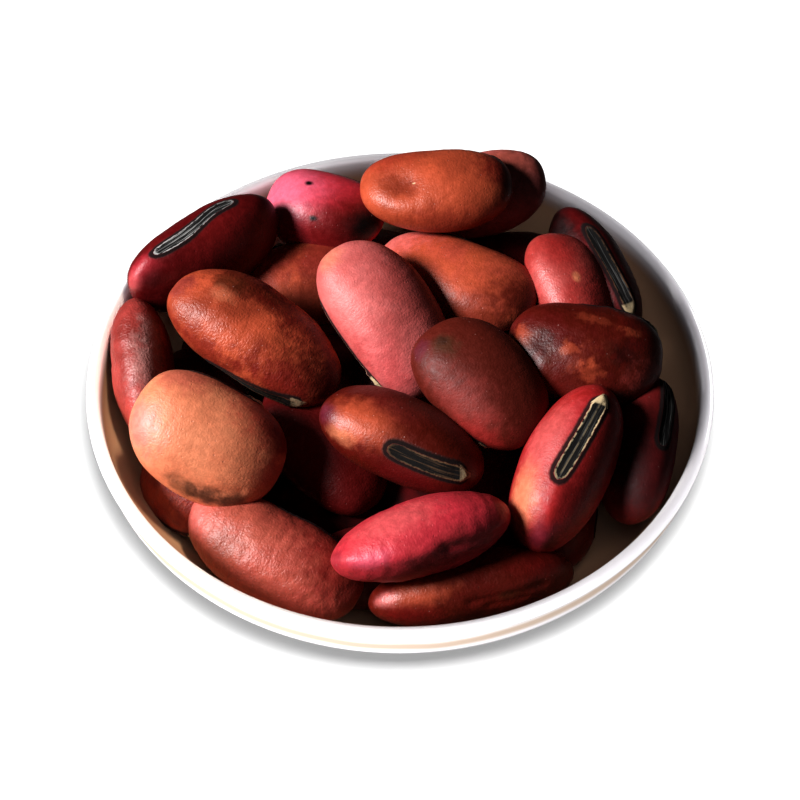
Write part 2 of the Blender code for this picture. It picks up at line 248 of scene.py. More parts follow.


# A patch: colour, its middle on the bean, its reach and how strongly it covers the skin.
# Dark patches on the ends that face away from the key light are partly the skin's own colour, partly
# painted shade.
LOOKS = {
    "left_back": Look(
        "maroon", "dark_red", 0.35, roughness=0.42, wrinkling=0.15, scar="silver", scar_from=0.53,
        scar_to=-0.64, scar_width=0.78, scar_lift=1.5, scar_slant=1.0, scar_wave=0.45,
        patches=(
            # The pink and crimson patches on its lower left end are partly its own colour, partly a painted
            # highlight on the ridge there.
            ("pink", (-0.96, 0.35, 0.15), 0.26, 0.50),
            ("crimson", (-0.84, 0.58, 0.23), 0.40, 0.55),
            ("black", (-0.79, 0.40, 0.50), 0.26, 0.50),
            ("red", (0.35, 0.45, 0.80), 0.80, 0.30),
            ("black", (0.98, 0.10, 0.20), 0.60, 0.50),
        ),
    ),
    "pink_back": Look(
        "crimson", "crimson", 0.0, roughness=0.40, wrinkling=0.08, ragged=0.10,
        patches=(
            ("bright_pink", (-0.65, 0.05, 0.75), 0.90, 0.90),
            ("dark_red", (0.36, -0.78, 0.53), 0.85, 0.90),
            ("maroon", (0.62, -0.55, 0.60), 0.60, 0.85),
            ("dark_red", (0.75, -0.15, 0.60), 0.75, 0.90),
            ("black", (0.86, -0.36, 0.40), 0.56, 1.0),
            ("black", (-0.21, 0.28, 0.93), 0.085, 1.0),
            ("black", (0.05, -0.54, 0.82), 0.085, 1.0),
        ),
    ),
    "dented_top": Look(
        "orange", "brown", 0.30, roughness=0.40, wrinkling=0.40, ragged=0.25,
        patches=(
            # Painted shade and highlight: the brown patch darkens the dent, and the tiny cream dot is a
            # painted glint on its rim.
            ("brown", (-0.45, -0.30, 0.85), 0.34, 0.50),
            ("cream", (-0.27, -0.26, 0.92), 0.030, 1.0),
            ("dark_red", (0.85, 0.20, 0.45), 0.55, 0.80),
            ("maroon", (0.98, -0.10, 0.20), 0.45, 0.85),
            ("dark_red", (0.10, -0.98, 0.10), 0.60, 0.50),
            ("red", (-0.60, 0.60, 0.50), 0.60, 0.30),
        ),
    ),
    # Its pale pink skin and the pale rose patch on its top are partly its own colour, partly painted light
    # where dented_top shades it.
    "far_back": Look(
        "pink", "pale_rose", 0.60, wrinkling=0.25, scar_lift=-2.0,
        patches=(
            ("pale_rose", (0.55, 0.30, 0.75), 0.75, 0.80),
            ("dark_red", (0.50, -0.85, 0.30), 0.80, 0.50),
            ("dark_red", (0.98, -0.15, 0.15), 0.40, 0.60),
        ),
    ),
    "pink_middle": Look(
        "pink", "rose", 0.50, roughness=0.48, wrinkling=0.40, scar="cream", scar_from=0.56,
        scar_to=-0.60, scar_lift=-1.85,
        patches=(
            ("tan", (0.92, 0.30, 0.30), 0.36, 0.50),
            ("purple", (0.21, -0.62, 0.76), 0.42, 0.15),
            ("rose", (0.00, -0.60, 0.80), 0.95, 0.60),
            ("crimson", (-0.62, 0.65, 0.50), 0.75, 0.30),
            ("pink", (-0.57, -0.05, 0.82), 0.50, 0.60),
            ("red", (-0.10, 0.98, 0.15), 0.50, 0.40),
        ),
    ),
    "orange_middle": Look(
        "orange", "rose", 0.40, roughness=0.44, wrinkling=0.30, scar="cream", scar_from=0.0,
        scar_to=-0.62, scar_lift=1.8,
        patches=(
            ("pink", (-0.90, 0.30, 0.35), 0.75, 0.70),
            ("brown", (0.90, -0.10, 0.40), 0.62, 0.90),
            ("brown", (0.45, -0.80, 0.30), 0.70, 0.60),
        ),
    ),
    "shaded_back": Look("maroon", "black", 0.45),
    "orange_back": Look(
        "orange", "rose", 0.50, wrinkling=0.25, scar="cream", scar_from=-0.75, scar_to=-0.12,
        scar_lift=0.75, scar_slant=0.8,
        patches=(
            ("red", (-0.57, 0.60, 0.60), 0.70, 0.50),
            ("dark_red", (0.45, 0.20, 0.85), 0.75, 0.70),
            ("brown", (0.10, -0.60, 0.80), 0.70, 0.60),
        ),
    ),
    "brown_left": Look(
        "orange", "brown", 0.55, roughness=0.40, wrinkling=0.75, ragged=0.35, scar="shut",
        scar_from=0.25, scar_to=-0.80, scar_lift=-0.5, scar_slant=2.6,
        patches=(
            ("purple", (0.93, 0.05, 0.35), 0.34, 0.50),
            ("brown", (0.37, -0.60, 0.75), 0.50, 0.80),
            ("brown", (-0.10, -0.60, 0.80), 0.50, 0.75),
            ("olive", (0.51, -0.43, 0.77), 0.26, 0.38),
            ("tan", (0.48, -0.07, 0.87), 0.20, 0.32),
            # The dark red, brown and maroon patches round its right end and lower side are partly its own
            # colour, partly painted shade away from the key light.
            ("dark_red", (-0.45, -0.45, 0.80), 0.50, 0.55),
            ("dark_red", (-0.55, 0.65, 0.50), 0.60, 0.80),
            ("brown", (-0.88, 0.05, 0.45), 0.60, 0.90),
            ("dark_red", (0.38, 0.93, 0.19), 0.55, 0.65),
            ("maroon", (-0.98, -0.10, 0.10), 0.45, 0.80),
        ),
    ),
    "left_edge": Look(
        "rose", "brown", 0.62, roughness=0.40, wrinkling=1.0, ragged=0.35, scar_side=-1,
        patches=(
            # These grey pink patches are partly bloom, partly a painted silvery sheen along its wrinkles.
            ("dust_and_sheen", (-0.20, 0.90, 0.35), 0.62, 0.62),
            ("dust_and_sheen", (0.31, 0.81, 0.53), 0.40, 0.40),
            ("maroon", (-0.05, 0.25, 0.95), 0.50, 0.85),
            ("maroon", (0.50, 0.20, 0.85), 0.60, 0.85),
            ("dark_red", (-0.60, 0.70, 0.40), 0.35, 0.40),
        ),
    ),
    "tan_left": Look(
        "tan", "orange", 0.25, roughness=0.44, wrinkling=0.30, ragged=0.24, scar="cream",
        scar_from=-0.60, scar_to=0.34, scar_lift=-0.45,
        patches=(
            ("olive", (0.05, -0.88, 0.46), 0.30, 0.60),
            ("black", (0.34, -0.82, 0.46), 0.30, 0.75),
            ("black", (0.64, -0.68, 0.40), 0.28, 0.75),
            ("pink", (-0.80, -0.40, 0.50), 0.50, 0.60),
            ("rose", (-0.60, 0.70, 0.40), 0.50, 0.55),
            ("red", (0.52, 0.75, 0.40), 0.62, 0.70),
            ("dark_red", (0.80, 0.56, 0.28), 0.36, 0.85),
            ("rose", (0.94, -0.05, 0.32), 0.45, 0.45),
        ),
    ),
    "wrinkled_front": Look(
        "pale_rose", "rose", 0.35, roughness=0.42, wrinkling=0.70,
        patches=(
            ("olive", (-0.44, -0.30, 0.84), 0.34, 0.32),
            ("pink", (-0.88, -0.15, 0.45), 0.46, 0.45),
            ("dark_red", (0.85, 0.20, 0.50), 0.75, 0.80),
            # Painted shadow: this dark red patch on its upper side stands for the shade that tan_left
            # casts.
            ("dark_red", (0.30, 0.85, 0.40), 0.70, 0.60),
            ("rose", (0.60, -0.70, 0.40), 0.60, 0.50),
        ),
    ),
    "red_middle": Look("dark_red", "maroon", 0.40, scar_side=-1, scar_lift=-2.0),
    "purple_ended": Look(
        "brown", "dark_red", 0.35, roughness=0.42, wrinkling=0.30, scar="grey_brown",
        scar_from=0.02, scar_to=-0.90, scar_width=1.05, scar_lift=1.6,
        patches=(
            ("orange", (0.45, 0.75, 0.45), 0.58, 0.85),
            ("tan", (0.58, 0.80, -0.05), 0.26, 0.60),
            ("purple", (0.84, 0.55, 0.15), 0.30, 0.90),
            # Painted highlight: the small pink spot on its purple end.
            ("pink", (0.62, 0.80, 0.12), 0.09, 0.60),
            ("rose", (0.10, 0.38, 0.92), 0.40, 0.22),
            ("maroon", (-0.27, 0.95, -0.30), 0.55, 0.75),
            ("brown", (-0.55, 0.50, 0.60), 0.75, 0.80),
        ),
    ),
    "pink_front": Look(
        "crimson", "rose", 0.25, roughness=0.44, wrinkling=0.35,
        patches=(
            ("pink", (-0.30, -0.50, 0.80), 0.60, 0.35),
            ("purple", (-0.97, -0.30, 0.15), 0.30, 0.45),
            ("dark_red", (0.80, -0.20, 0.50), 0.60, 0.40),
            ("dark_red", (0.35, -0.90, -0.35), 0.60, 0.28),
            ("maroon", (-0.20, -0.72, -0.66), 0.55, 0.55),
            # Partly its own colour, partly a painted highlight: the bright pink along the ridge of its
            # lower left edge.
            ("bright_pink", (-0.66, -0.81, 0.05), 0.30, 0.45),
        ),
    ),
    "brown_front": Look(
        "brown", "dark_red", 0.45, roughness=0.42, wrinkling=0.35,
        patches=(
            ("orange", (-0.55, -0.85, 0.10), 0.42, 0.65),
            ("pink", (-0.86, -0.59, 0.10), 0.26, 0.55),
            ("dark_red", (-0.74, -0.68, -0.40), 0.40, 0.70),
            ("olive", (0.30, -0.90, -0.32), 0.14, 0.40),
            ("dark_red", (0.75, -0.60, 0.30), 0.60, 0.60),
        ),
    ),
    "dusty_middle": Look(
        "dusty_red", "brown", 0.42, roughness=0.55, wrinkling=0.25, ragged=0.30, scar="shut",
        scar_from=0.20, scar_to=-0.64, scar_lift=-1.5, scar_slant=0.5,
        patches=(
            ("rose", (-0.20, 0.75, 0.60), 0.70, 0.40),
            ("purple", (0.80, 0.42, 0.45), 0.26, 0.70),
            ("olive", (0.60, 0.15, 0.78), 0.26, 0.65),
            ("black", (0.68, 0.10, 0.72), 0.11, 0.35),
            ("red", (-0.55, 0.80, 0.20), 0.50, 0.50),
        ),
    ),
    "mottled_right": Look(
        "brown", "maroon", 0.50, roughness=0.42, wrinkling=0.30, ragged=0.60,
        patches=(
            ("orange", (-0.82, 0.01, 0.56), 0.26, 0.50),
            # Painted shade: this black patch and the other black one below lie in its two dents.
            ("black", (-0.55, -0.15, 0.82), 0.32, 0.50),
            ("orange", (-0.07, 0.60, 0.80), 0.17, 0.22),
            ("orange", (0.13, 0.50, 0.86), 0.15, 0.24),
            ("orange", (-0.18, -0.15, 0.97), 0.15, 0.50),
            ("orange", (0.08, -0.34, 0.93), 0.12, 0.50),
            ("orange", (0.13, -0.51, 0.85), 0.22, 0.36),
            ("orange", (0.53, 0.38, 0.78), 0.14, 0.45),
            ("black", (0.55, -0.10, 0.85), 0.30, 0.45),
            ("rose", (0.80, -0.40, 0.40), 0.40, 0.45),
            ("orange", (-0.05, -0.30, 0.95), 0.40, 0.12),
        ),
    ),
    "red_right": Look(
        "rose", "red", 0.45, roughness=0.40, wrinkling=0.40, scar_side=-1,
        patches=(
            ("tan", (-0.04, 0.40, 0.91), 0.11, 0.95),
            # Painted highlight: the pink patch on its left side, where the key light falls.
            ("pink", (0.05, 0.92, 0.35), 0.55, 0.35),
            ("red", (0.49, 0.42, 0.78), 0.50, 0.60),
            ("red", (-0.40, -0.20, 0.90), 0.60, 0.60),
            ("dark_red", (0.20, -0.70, 0.60), 0.60, 0.70),
        ),
    ),
    "right_back": Look(
        "maroon", "dark_red", 0.35, roughness=0.50, wrinkling=0.15, scar="dark", scar_from=-0.39,
        scar_to=0.87, scar_width=0.9, scar_lift=-0.4,
        patches=(
            ("black", (-0.67, 0.66, 0.60), 0.60, 0.80),
            ("black", (-0.30, 0.60, 0.70), 0.60, 0.60),
            ("dark_red", (0.00, 0.50, -0.80), 0.80, 0.70),
        ),
    ),
    "upright_right": Look(
        "red", "crimson", 0.25, roughness=0.46, wrinkling=0.12, ragged=0.12, scar="black_cream",
        scar_from=-0.24, scar_to=0.80, scar_width=1.05, scar_lift=-1.45, scar_slant=1.9,
        patches=(
            ("pink", (0.14, 0.57, -0.81), 0.60, 0.40),
            ("tan", (-0.56, 0.42, -0.74), 0.50, 0.75),
            ("dark_red", (0.20, 0.90, 0.45), 0.70, 0.65),
            ("dark_red", (-0.24, 0.96, 0.10), 0.30, 0.50),
            ("purple", (-0.86, 0.60, -0.05), 0.36, 0.75),
            ("olive", (-0.88, 0.52, 0.25), 0.20, 0.45),
        ),
    ),
    "right_edge": Look(
        "dark_red", "maroon", 0.45, roughness=0.68, wrinkling=0.15, scar="streaked",
        scar_from=-0.17, scar_to=0.85, scar_width=0.9, scar_lift=-0.3, scar_slant=1.5,
        patches=(
            ("red", (0.30, 0.60, -0.76), 0.30, 0.35),
            # Painted shadow: these maroon and black patches on its lower end stand for the shade that
            # upright_right casts there.
            ("maroon", (-0.65, 0.60, -0.55), 0.80, 0.95),
            ("black", (-0.65, 0.60, -0.55), 0.85, 0.60),
            ("maroon", (-0.40, 0.90, -0.10), 0.50, 0.60),
            ("maroon", (-0.30, 0.60, 0.50), 0.80, 0.70),
        ),
    ),
    "low_left": Look("dark_red", "orange", 0.50, wrinkling=0.9, scar_side=-1),
    "low_right": Look("dark_red", "maroon", 0.30, scar_side=-1),
    "buried": Look("maroon", "black", 0.60, scar_from=-0.30, scar_to=0.30, scar_lift=-3.0),
}

# A dent: its middle, its reach and its depth. A crease: points along it, half its width and how far
# it rises, or sinks where that is negative.
RELIEFS = {
    "left_back": Relief(
        creases=((((-0.98, -0.20, 0.20), (-0.93, 0.35, 0.20), (-0.72, 0.75, 0.20)), 1.6, 0.35),),
    ),
    "pink_back": Relief(uneven=0.15, wrinkle=0.02, taper=-0.08),
    "dented_top": Relief(
        wrinkle=0.04, sink=0.14,
        dents=(((-0.39, -0.28, 0.88), 3.9, 1.35), ((0.45, 0.25, 0.85), 5.0, 0.12)),
    ),
    "brown_left": Relief(
        uneven=0.40, wrinkle=0.06, wrinkle_gap=1.8,
        dents=(((0.22, -0.25, 0.95), 3.0, 0.35), ((0.55, 0.10, 0.80), 2.4, 0.20)),
    ),
    "left_edge": Relief(uneven=0.40, wrinkle=0.12, wrinkle_gap=1.7),
    "tan_left": Relief(
        uneven=0.30, wrinkle=0.04,
        creases=((((-0.10, -0.80, 0.60), (0.35, -0.72, 0.64), (0.70, -0.52, 0.58)), 0.9, -0.25),),
    ),
    "wrinkled_front": Relief(
        uneven=0.35, wrinkle=0.14, wrinkle_gap=1.8, dents=(((-0.40, -0.30, 0.85), 2.8, 0.35),),
    ),
    "pink_front": Relief(
        wrinkle=0.10, wrinkle_gap=2.0,
        creases=(
            (
                ((-0.97, -0.15, 0.15), (-0.89, -0.52, 0.10), (-0.59, -0.86, -0.05), (0.0, -1.0, -0.10)),
                1.3, 0.40,
            ),
            (((0.15, -0.98, -0.22), (0.45, -0.88, -0.27), (0.80, -0.60, -0.30)), 0.9, -0.35),
        ),
    ),
    "brown_front": Relief(
        uneven=0.35, wrinkle=0.08,
        creases=(
            (((-0.05, -0.93, -0.36), (0.30, -0.90, -0.32), (0.65, -0.80, -0.22)), 0.7, -0.30),
            (((0.10, -0.85, -0.52), (0.45, -0.82, -0.45)), 0.6, -0.25),
        ),
    ),
    "mottled_right": Relief(
        uneven=0.30, wrinkle=0.03, lump=0.16, lump_gap=3.2,
        dents=(((-0.55, -0.10, 0.80), 2.6, 0.30), ((0.55, -0.25, 0.80), 3.0, 0.30)),
    ),
    "upright_right": Relief(
        uneven=0.20, wrinkle=0.02,
        creases=((((-0.30, 0.94, -0.20), (-0.55, 0.86, -0.15), (-0.85, 0.62, 0.05)), 1.5, 0.35),),
    ),
    "low_left": Relief(uneven=0.35, wrinkle=0.12),
}

# A scar's felt, the streaks on it and how strong they are, its edge, and how far the edge,
# the middle line and the cap at its end show, each from none to one.
SCARS = {
    "dark": ("felt", "silver", 0.22, "bark", 0.45, 0.0, 0.55),
    "black_cream": ("felt", "silver", 0.16, "cream", 1.0, 0.22, 1.0),
    "silver": ("felt", "silver", 0.80, "silver", 1.0, 0.0, 0.0),
    "streaked": ("felt", "silver", 0.55, "felt", 0.0, 0.0, 0.0),
    "shut": ("felt", "bark", 0.25, "bark", 0.45, 0.0, 0.55),
    "grey_brown": ("felt", "bark", 0.30, "bark", 0.60, 0.0, 0.35),
    "cream": ("felt", "silver", 0.40, "cream", 1.0, 0.0, 1.0),
}

# Shape of every scar, where one is its end along it and its edge across it. What rises or sinks is
# in millimetres.
SCAR_END_POWER = 8
SCAR_RIM = 0.16
SCAR_RIM_WIDTH = 0.22
SCAR_SINK = 0.20
CAP_START = 0.80
CAP_END = 1.22
CAP_WIDTH = 0.85
CAP_TIP = 0.25
CAP_HEIGHT = 0.70
CAP_END_SLOPE = 6.0
CAP_SOFTNESS = 0.03
CAP_GRAIN_ALONG = 9.0
CAP_GRAIN_ACROSS = 2.5
SCAR_WAVES = 3.2
SCAR_WAVE_START = 0.6
SCAR_SLANT_END = 1.2
FAR_SIDE = 12.0

# The mix node's sockets share their names, so they are picked by number.
MIX_NUMBERS_IN = (2, 3)
MIX_NUMBER_OUT = 0
MIX_COLOURS_IN = (6, 7)
MIX_COLOUR_OUT = 2


class Lamp(NamedTuple):
    """Where a lamp stands round what it faces, in degrees and metres, its width and its colour."""

    heading: float
    elevation: float
    distance: float
    width: float
    colour: tuple


KEY_COLOUR = (1.0, 0.98, 1.0)
FILL_LAMP = Lamp(-15.0, 35.0, 0.9, 0.6, (1.0, 0.85, 0.75))
TOP_LAMP = Lamp(-60.0, 65.0, 0.8, 0.7, (0.95, 0.94, 1.0))
RIM_LAMP = Lamp(205.0, 14.0, 0.9, 0.26, (1.0, 1.0, 1.0))
LOW_LAMP_HEADINGS = (-125.0, -55.0, 35.0, 145.0)
LOW_LAMPS = [Lamp(heading, 6.0, 0.5, 0.25, (0.97, 0.97, 1.0)) for heading in LOW_LAMP_HEADINGS]
WALL_LAMP = Lamp(0.0, 74.0, 0.5, 0.03, (1.0, 0.86, 0.72))
WALL_LAMP_AIM = (-48.0, -18.0, 24.0)
WALL_LAMP_CONE = 13.0
FLOOR_LAMP_COLOUR = (1.0, 1.0, 1.0)
FLOOR_LAMP_DISTANCE = 0.33
FLOOR_LAMP_WIDTH = 0.065

# Stage, in metres, and what its lamps and camera face, in millimetres.
FLOOR_HALF_WIDTH = 3.0
LAMP_AIM_HEIGHT = 30.0
CAMERA_AIM = (0.0, -5.22, 30.8)
CAMERA_FRAME_WIDTH = 36.0
CAMERA_NEAR_END = 0.01


def colour_setting(name, description, value):
    """Return a colour that a user can change."""
    return bpy.props.FloatVectorProperty(
        name=name, description=description, default=value, size=3, min=0.0, max=1.0, subtype="COLOR"
    )


def share_setting(name, description, value):
    """Return a share from none to one that a user can change."""
    return bpy.props.FloatProperty(
        name=name, description=description, default=value, min=0.0, max=1.0, subtype="FACTOR"
    )


class DishSettings(bpy.types.PropertyGroup):
    """Sizes and colours of the dish."""

    lip_bead_radius: bpy.props.FloatProperty(
        name="Lip radius", description="Radius of the round bead along the lip",
        default=1.2 * MM, min=0.5 * MM, max=2.0 * MM, precision=4, unit="LENGTH",
    )
    glaze: colour_setting("Glaze", "Colour of the glaze", (0.82, 0.80, 0.80))
    # Painted shade: the tan of the inner wall stands for shade and warm light bounced off the beans.
    painted_inner_shade: colour_setting("Painted inner shade", "Colour of the glaze down inside the dish", (0.54, 0.34, 0.21))
    # Painted shade and warm reflection for the line under the lip; the same tan also gives the glaze a
    # faint tone and speckles the bare ring.
    lip_shade_and_tan_tone: colour_setting("Lip shade and tan tone", "Colour of the thin line under the lip", (0.50, 0.40, 0.32))
    bare_clay: colour_setting("Bare clay", "Colour of the foot's unglazed ring", (0.62, 0.55, 0.46))
    glaze_roughness: share_setting("Glaze roughness", "Roughness of the glaze", 0.14)


class BeanSettings(bpy.types.PropertyGroup):
    """Colours of the beans and the size of what is on their skin."""

    maroon: colour_setting("Maroon", "Darkest skins", (0.1200, 0.0035, 0.0048))
    dark_red: colour_setting("Dark red", "Dark red skins", (0.1700, 0.0070, 0.0060))
    red: colour_setting("Red", "Plain red skins", (0.3800, 0.0230, 0.0210))
    crimson: colour_setting("Crimson", "Crimson skins", (0.5600, 0.0460, 0.0660))
    rose: colour_setting("Rose", "Dull pinkish red skins", (0.4200, 0.0700, 0.0580))
    pale_rose: colour_setting("Pale rose", "Pale pinkish brown skins", (0.4200, 0.1050, 0.0680))
    pink: colour_setting("Pink", "Pink skins", (0.7100, 0.2050, 0.1900))
    bright_pink: colour_setting("Bright pink", "Bright pink skins", (0.7200, 0.1650, 0.2450))
    orange: colour_setting("Orange brown", "Orange brown skins", (0.5200, 0.1080, 0.0470))
    tan: colour_setting("Tan", "Pale orange tan skins", (0.7200, 0.2750, 0.1450))
    brown: colour_setting("Brown", "Red brown skins", (0.1150, 0.0100, 0.0038))
    dusty_red: colour_setting("Dusty red", "Brown red skins with a dull bloom", (0.1300, 0.0150, 0.0065))
    purple: colour_setting("Purple", "Purple smudges", (0.1300, 0.0140, 0.0300))
    olive: colour_setting("Olive", "Olive smudges", (0.0700, 0.0300, 0.0090))
    black: colour_setting("Black", "Black smudges", (0.0060, 0.0030, 0.0030))
    # Partly grey pink bloom and pale specks, partly painted sheen on wrinkles.
    dust_and_sheen: colour_setting("Dust and sheen", "Grey pink bloom", (0.5000, 0.2900, 0.2600))
    felt: colour_setting("Felt", "Black felt of the seed scar", (0.0060, 0.0055, 0.0050))
    silver: colour_setting("Silver", "Silvery streaks of the scar", (0.4200, 0.4200, 0.4000))
    cream: colour_setting("Cream", "Cream edge and cap of the scar", (0.7000, 0.5600, 0.3400))
    bark: colour_setting("Bark", "Brown edge of some scars", (0.270, 0.160, 0.080))
    scar_half_width: bpy.props.FloatProperty(
        name="Scar half width", description="Half the width of the seed scar",
        default=1.20 * MM, min=0.5 * MM, max=3.0 * MM, precision=5, unit="LENGTH",
    )
    relief: share_setting("Relief", "Share of the skin's wrinkles, dents and lumps that shows", 1.0)


class StageSettings(bpy.types.PropertyGroup):
    """Floor, light and camera."""

    floor: colour_setting("Floor", "Colour of the floor", (0.25, 0.25, 0.25))
    floor_bounce: colour_setting("Floor bounce", "How much light the floor sends up", (0.04, 0.04, 0.04))
    key_strength: bpy.props.FloatProperty(
        name="Key light", description="Power of the main light", default=17.0, min=0.0, unit="POWER"
    )
    key_size: bpy.props.FloatProperty(
        name="Key size", description="Width of the main light", default=0.28, min=0.01, unit="LENGTH"
    )
    key_distance: bpy.props.FloatProperty(
        name="Key distance", description="How far the main light stands from the dish",
        default=0.90, min=0.1, unit="LENGTH",
    )
    key_heading: bpy.props.FloatProperty(
        name="Key heading", description="Where the main light stands, counted from +X",
        default=math.radians(192.0), unit="ROTATION",
    )
    key_height: bpy.props.FloatProperty(
        name="Key elevation", description="How high the main light stands",
        default=math.radians(36.0), unit="ROTATION",
    )
    fill_strength: bpy.props.FloatProperty(
        name="Fill light", description="Power of the fill light on the right",
        default=0.08, min=0.0, unit="POWER",
    )
    top_strength: bpy.props.FloatProperty(
        name="Top light", description="Power of the soft light over the dish",
        default=3.3, min=0.0, unit="POWER",
    )
    rim_strength: bpy.props.FloatProperty(
        name="Rim light", description="Power of the low light from the left on the dish",
        default=12.0, min=0.0, unit="POWER",
    )
    glow_strength: bpy.props.FloatProperty(
        name="Wall light", description="Power of the warm light down the dish's left wall",
        default=13.0, min=0.0, unit="POWER",
    )
    floor_strength: bpy.props.FloatProperty(
        name="Floor light", description="Power of the light on the floor",
        default=8.4, min=0.0, unit="POWER",
    )
    floor_heading: bpy.props.FloatProperty(
        name="Floor light heading", description="Where the floor's light stands, counted from +X",
        default=math.radians(-88.5), unit="ROTATION",
    )
    floor_height: bpy.props.FloatProperty(
        name="Floor light elevation", description="How high the floor's light stands",
        default=math.radians(59.5), unit="ROTATION",
    )
    floor_glow: share_setting("Floor glow", "How bright the floor is where its light is shut out", 0.38)
    low_strength: bpy.props.FloatProperty(
        name="Low lights", description="Power of each low light on the outside of the dish",
        default=2.3, min=0.0, unit="POWER",
    )
    contrast: bpy.props.FloatProperty(
        name="Contrast", description="Contrast of the picture, where one is plain", default=1.25, min=0.5
    )
    sky: colour_setting("Sky", "Colour of the light from all round", (0.80, 0.86, 1.0))
    sky_strength: bpy.props.FloatProperty(
        name="Sky strength", description="Strength of the light from all round", default=0.012, min=0.0
    )
    camera_distance: bpy.props.FloatProperty(
        name="Camera distance", description="From the camera to the point it looks at",
        default=0.400, min=0.1, unit="LENGTH",
    )
    camera_elevation: bpy.props.FloatProperty(
        name="Camera elevation", description="How far the camera looks down",
        default=math.radians(50.95), unit="ROTATION",
    )
    lens: bpy.props.FloatProperty(
        name="Lens", description="Focal length of the camera", default=103.28, min=10.0, unit="CAMERA"
    )


def wire(tree, value, socket):
    """Set an input to a value, or link another node's output to it."""
    if isinstance(value, bpy.types.NodeSocket):
        tree.links.new(value, socket)
    else:
        socket.default_value = value


def add_node(tree, kind, inputs=(), **settings):
    """Place a node, set it up and fill the inputs named."""
    node = tree.nodes.new(kind)
    for name, value in settings.items():
        setattr(node, name, value)
    for name, value in dict(inputs).items():
        wire(tree, value, node.inputs[name])
    return node


def sum_node(tree, operation, *values, clamp=False):
    """Return the result of a sum on one, two or three values."""
    node = add_node(tree, "ShaderNodeMath", operation=operation, use_clamp=clamp)
    for value, socket in zip(values, node.inputs):
        wire(tree, value, socket)
    return node.outputs["Value"]


def vector_node(tree, operation, first, second=None):
    """Return the vector result of an operation on one or two vectors."""
    node = add_node(tree, "ShaderNodeVectorMath", operation=operation)
    wire(tree, first, node.inputs[0])
    if second is not None:
        wire(tree, second, node.inputs[1])
    return node.outputs["Vector"]


def eased(tree, value, low, high, low_result=0.0, high_result=1.0):
    """Return a value eased from one result to another as it goes from low to high."""
    node = add_node(tree, "ShaderNodeMapRange", interpolation_type="SMOOTHSTEP")
    names = ("Value", "From Min", "From Max", "To Min", "To Max")
    for name, number in zip(names, (value, low, high, low_result, high_result)):
        wire(tree, number, node.inputs[name])
    return node.outputs["Result"]


def share_past(tree, value, edge):
    """Return how far a value in metres is past an edge, whose start and end are in millimetres."""
    return eased(tree, value, edge[0] * MM, edge[1] * MM)


def mixed(tree, share, first, second, blend="MIX"):
    """Return the mix of two colours."""
    node = add_node(tree, "ShaderNodeMix", data_type="RGBA", blend_type=blend)
    wire(tree, share, node.inputs["Factor"])
    for colour, number in zip((first, second), MIX_COLOURS_IN):
        wire(tree, colour, node.inputs[number])
    return node.outputs[MIX_COLOUR_OUT]


def mixed_number(tree, share, first, second):
    """Return the mix of two numbers."""
    node = add_node(tree, "ShaderNodeMix", data_type="FLOAT")
    wire(tree, share, node.inputs["Factor"])
    for value, number in zip((first, second), MIX_NUMBERS_IN):
        wire(tree, value, node.inputs[number])
    return node.outputs[MIX_NUMBER_OUT]


def clouds(tree, place, scale, detail=2.0, roughness=0.5, distortion=0.0):
    """Return noise from none to one."""
    node = add_node(
        tree, "ShaderNodeTexNoise",
        {
            "Vector": place, "Scale": scale, "Detail": detail,
            "Roughness": roughness, "Distortion": distortion,
        },
    )
    return node.outputs["Fac"]


def mesh_value(tree, name):
    """Return the vector that the mesh holds under this name."""
    return add_node(tree, "ShaderNodeAttribute", attribute_name=name).outputs["Vector"]


def rgba(colour):
    """Return a colour with full alpha."""
    return (*colour, 1.0)


def bean_colour(name):
    """Return one of the beans' colours with full alpha."""
    return rgba(getattr(bpy.context.scene.bean_settings, name))


def new_group(name, inputs, outputs):
    """Return an empty node group and its input and output nodes."""
    group = bpy.data.node_groups.new(name, "ShaderNodeTree")
    for label, kind, value in inputs:
        socket = group.interface.new_socket(label, in_out="INPUT", socket_type=kind)
        if value is not None:
            socket.default_value = value
    for label, kind in outputs:
        group.interface.new_socket(label, in_out="OUTPUT", socket_type=kind)
    return group, group.nodes.new("NodeGroupInput").outputs, group.nodes.new("NodeGroupOutput").inputs


def place_group(tree, group, **inputs):
    """Place a node group in a material and return its outputs."""
    node = tree.nodes.new("ShaderNodeGroup")
    node.node_tree = group
    for name, value in inputs.items():
        wire(tree, value, node.inputs[name.replace("_", " ").capitalize()])
    return node.outputs


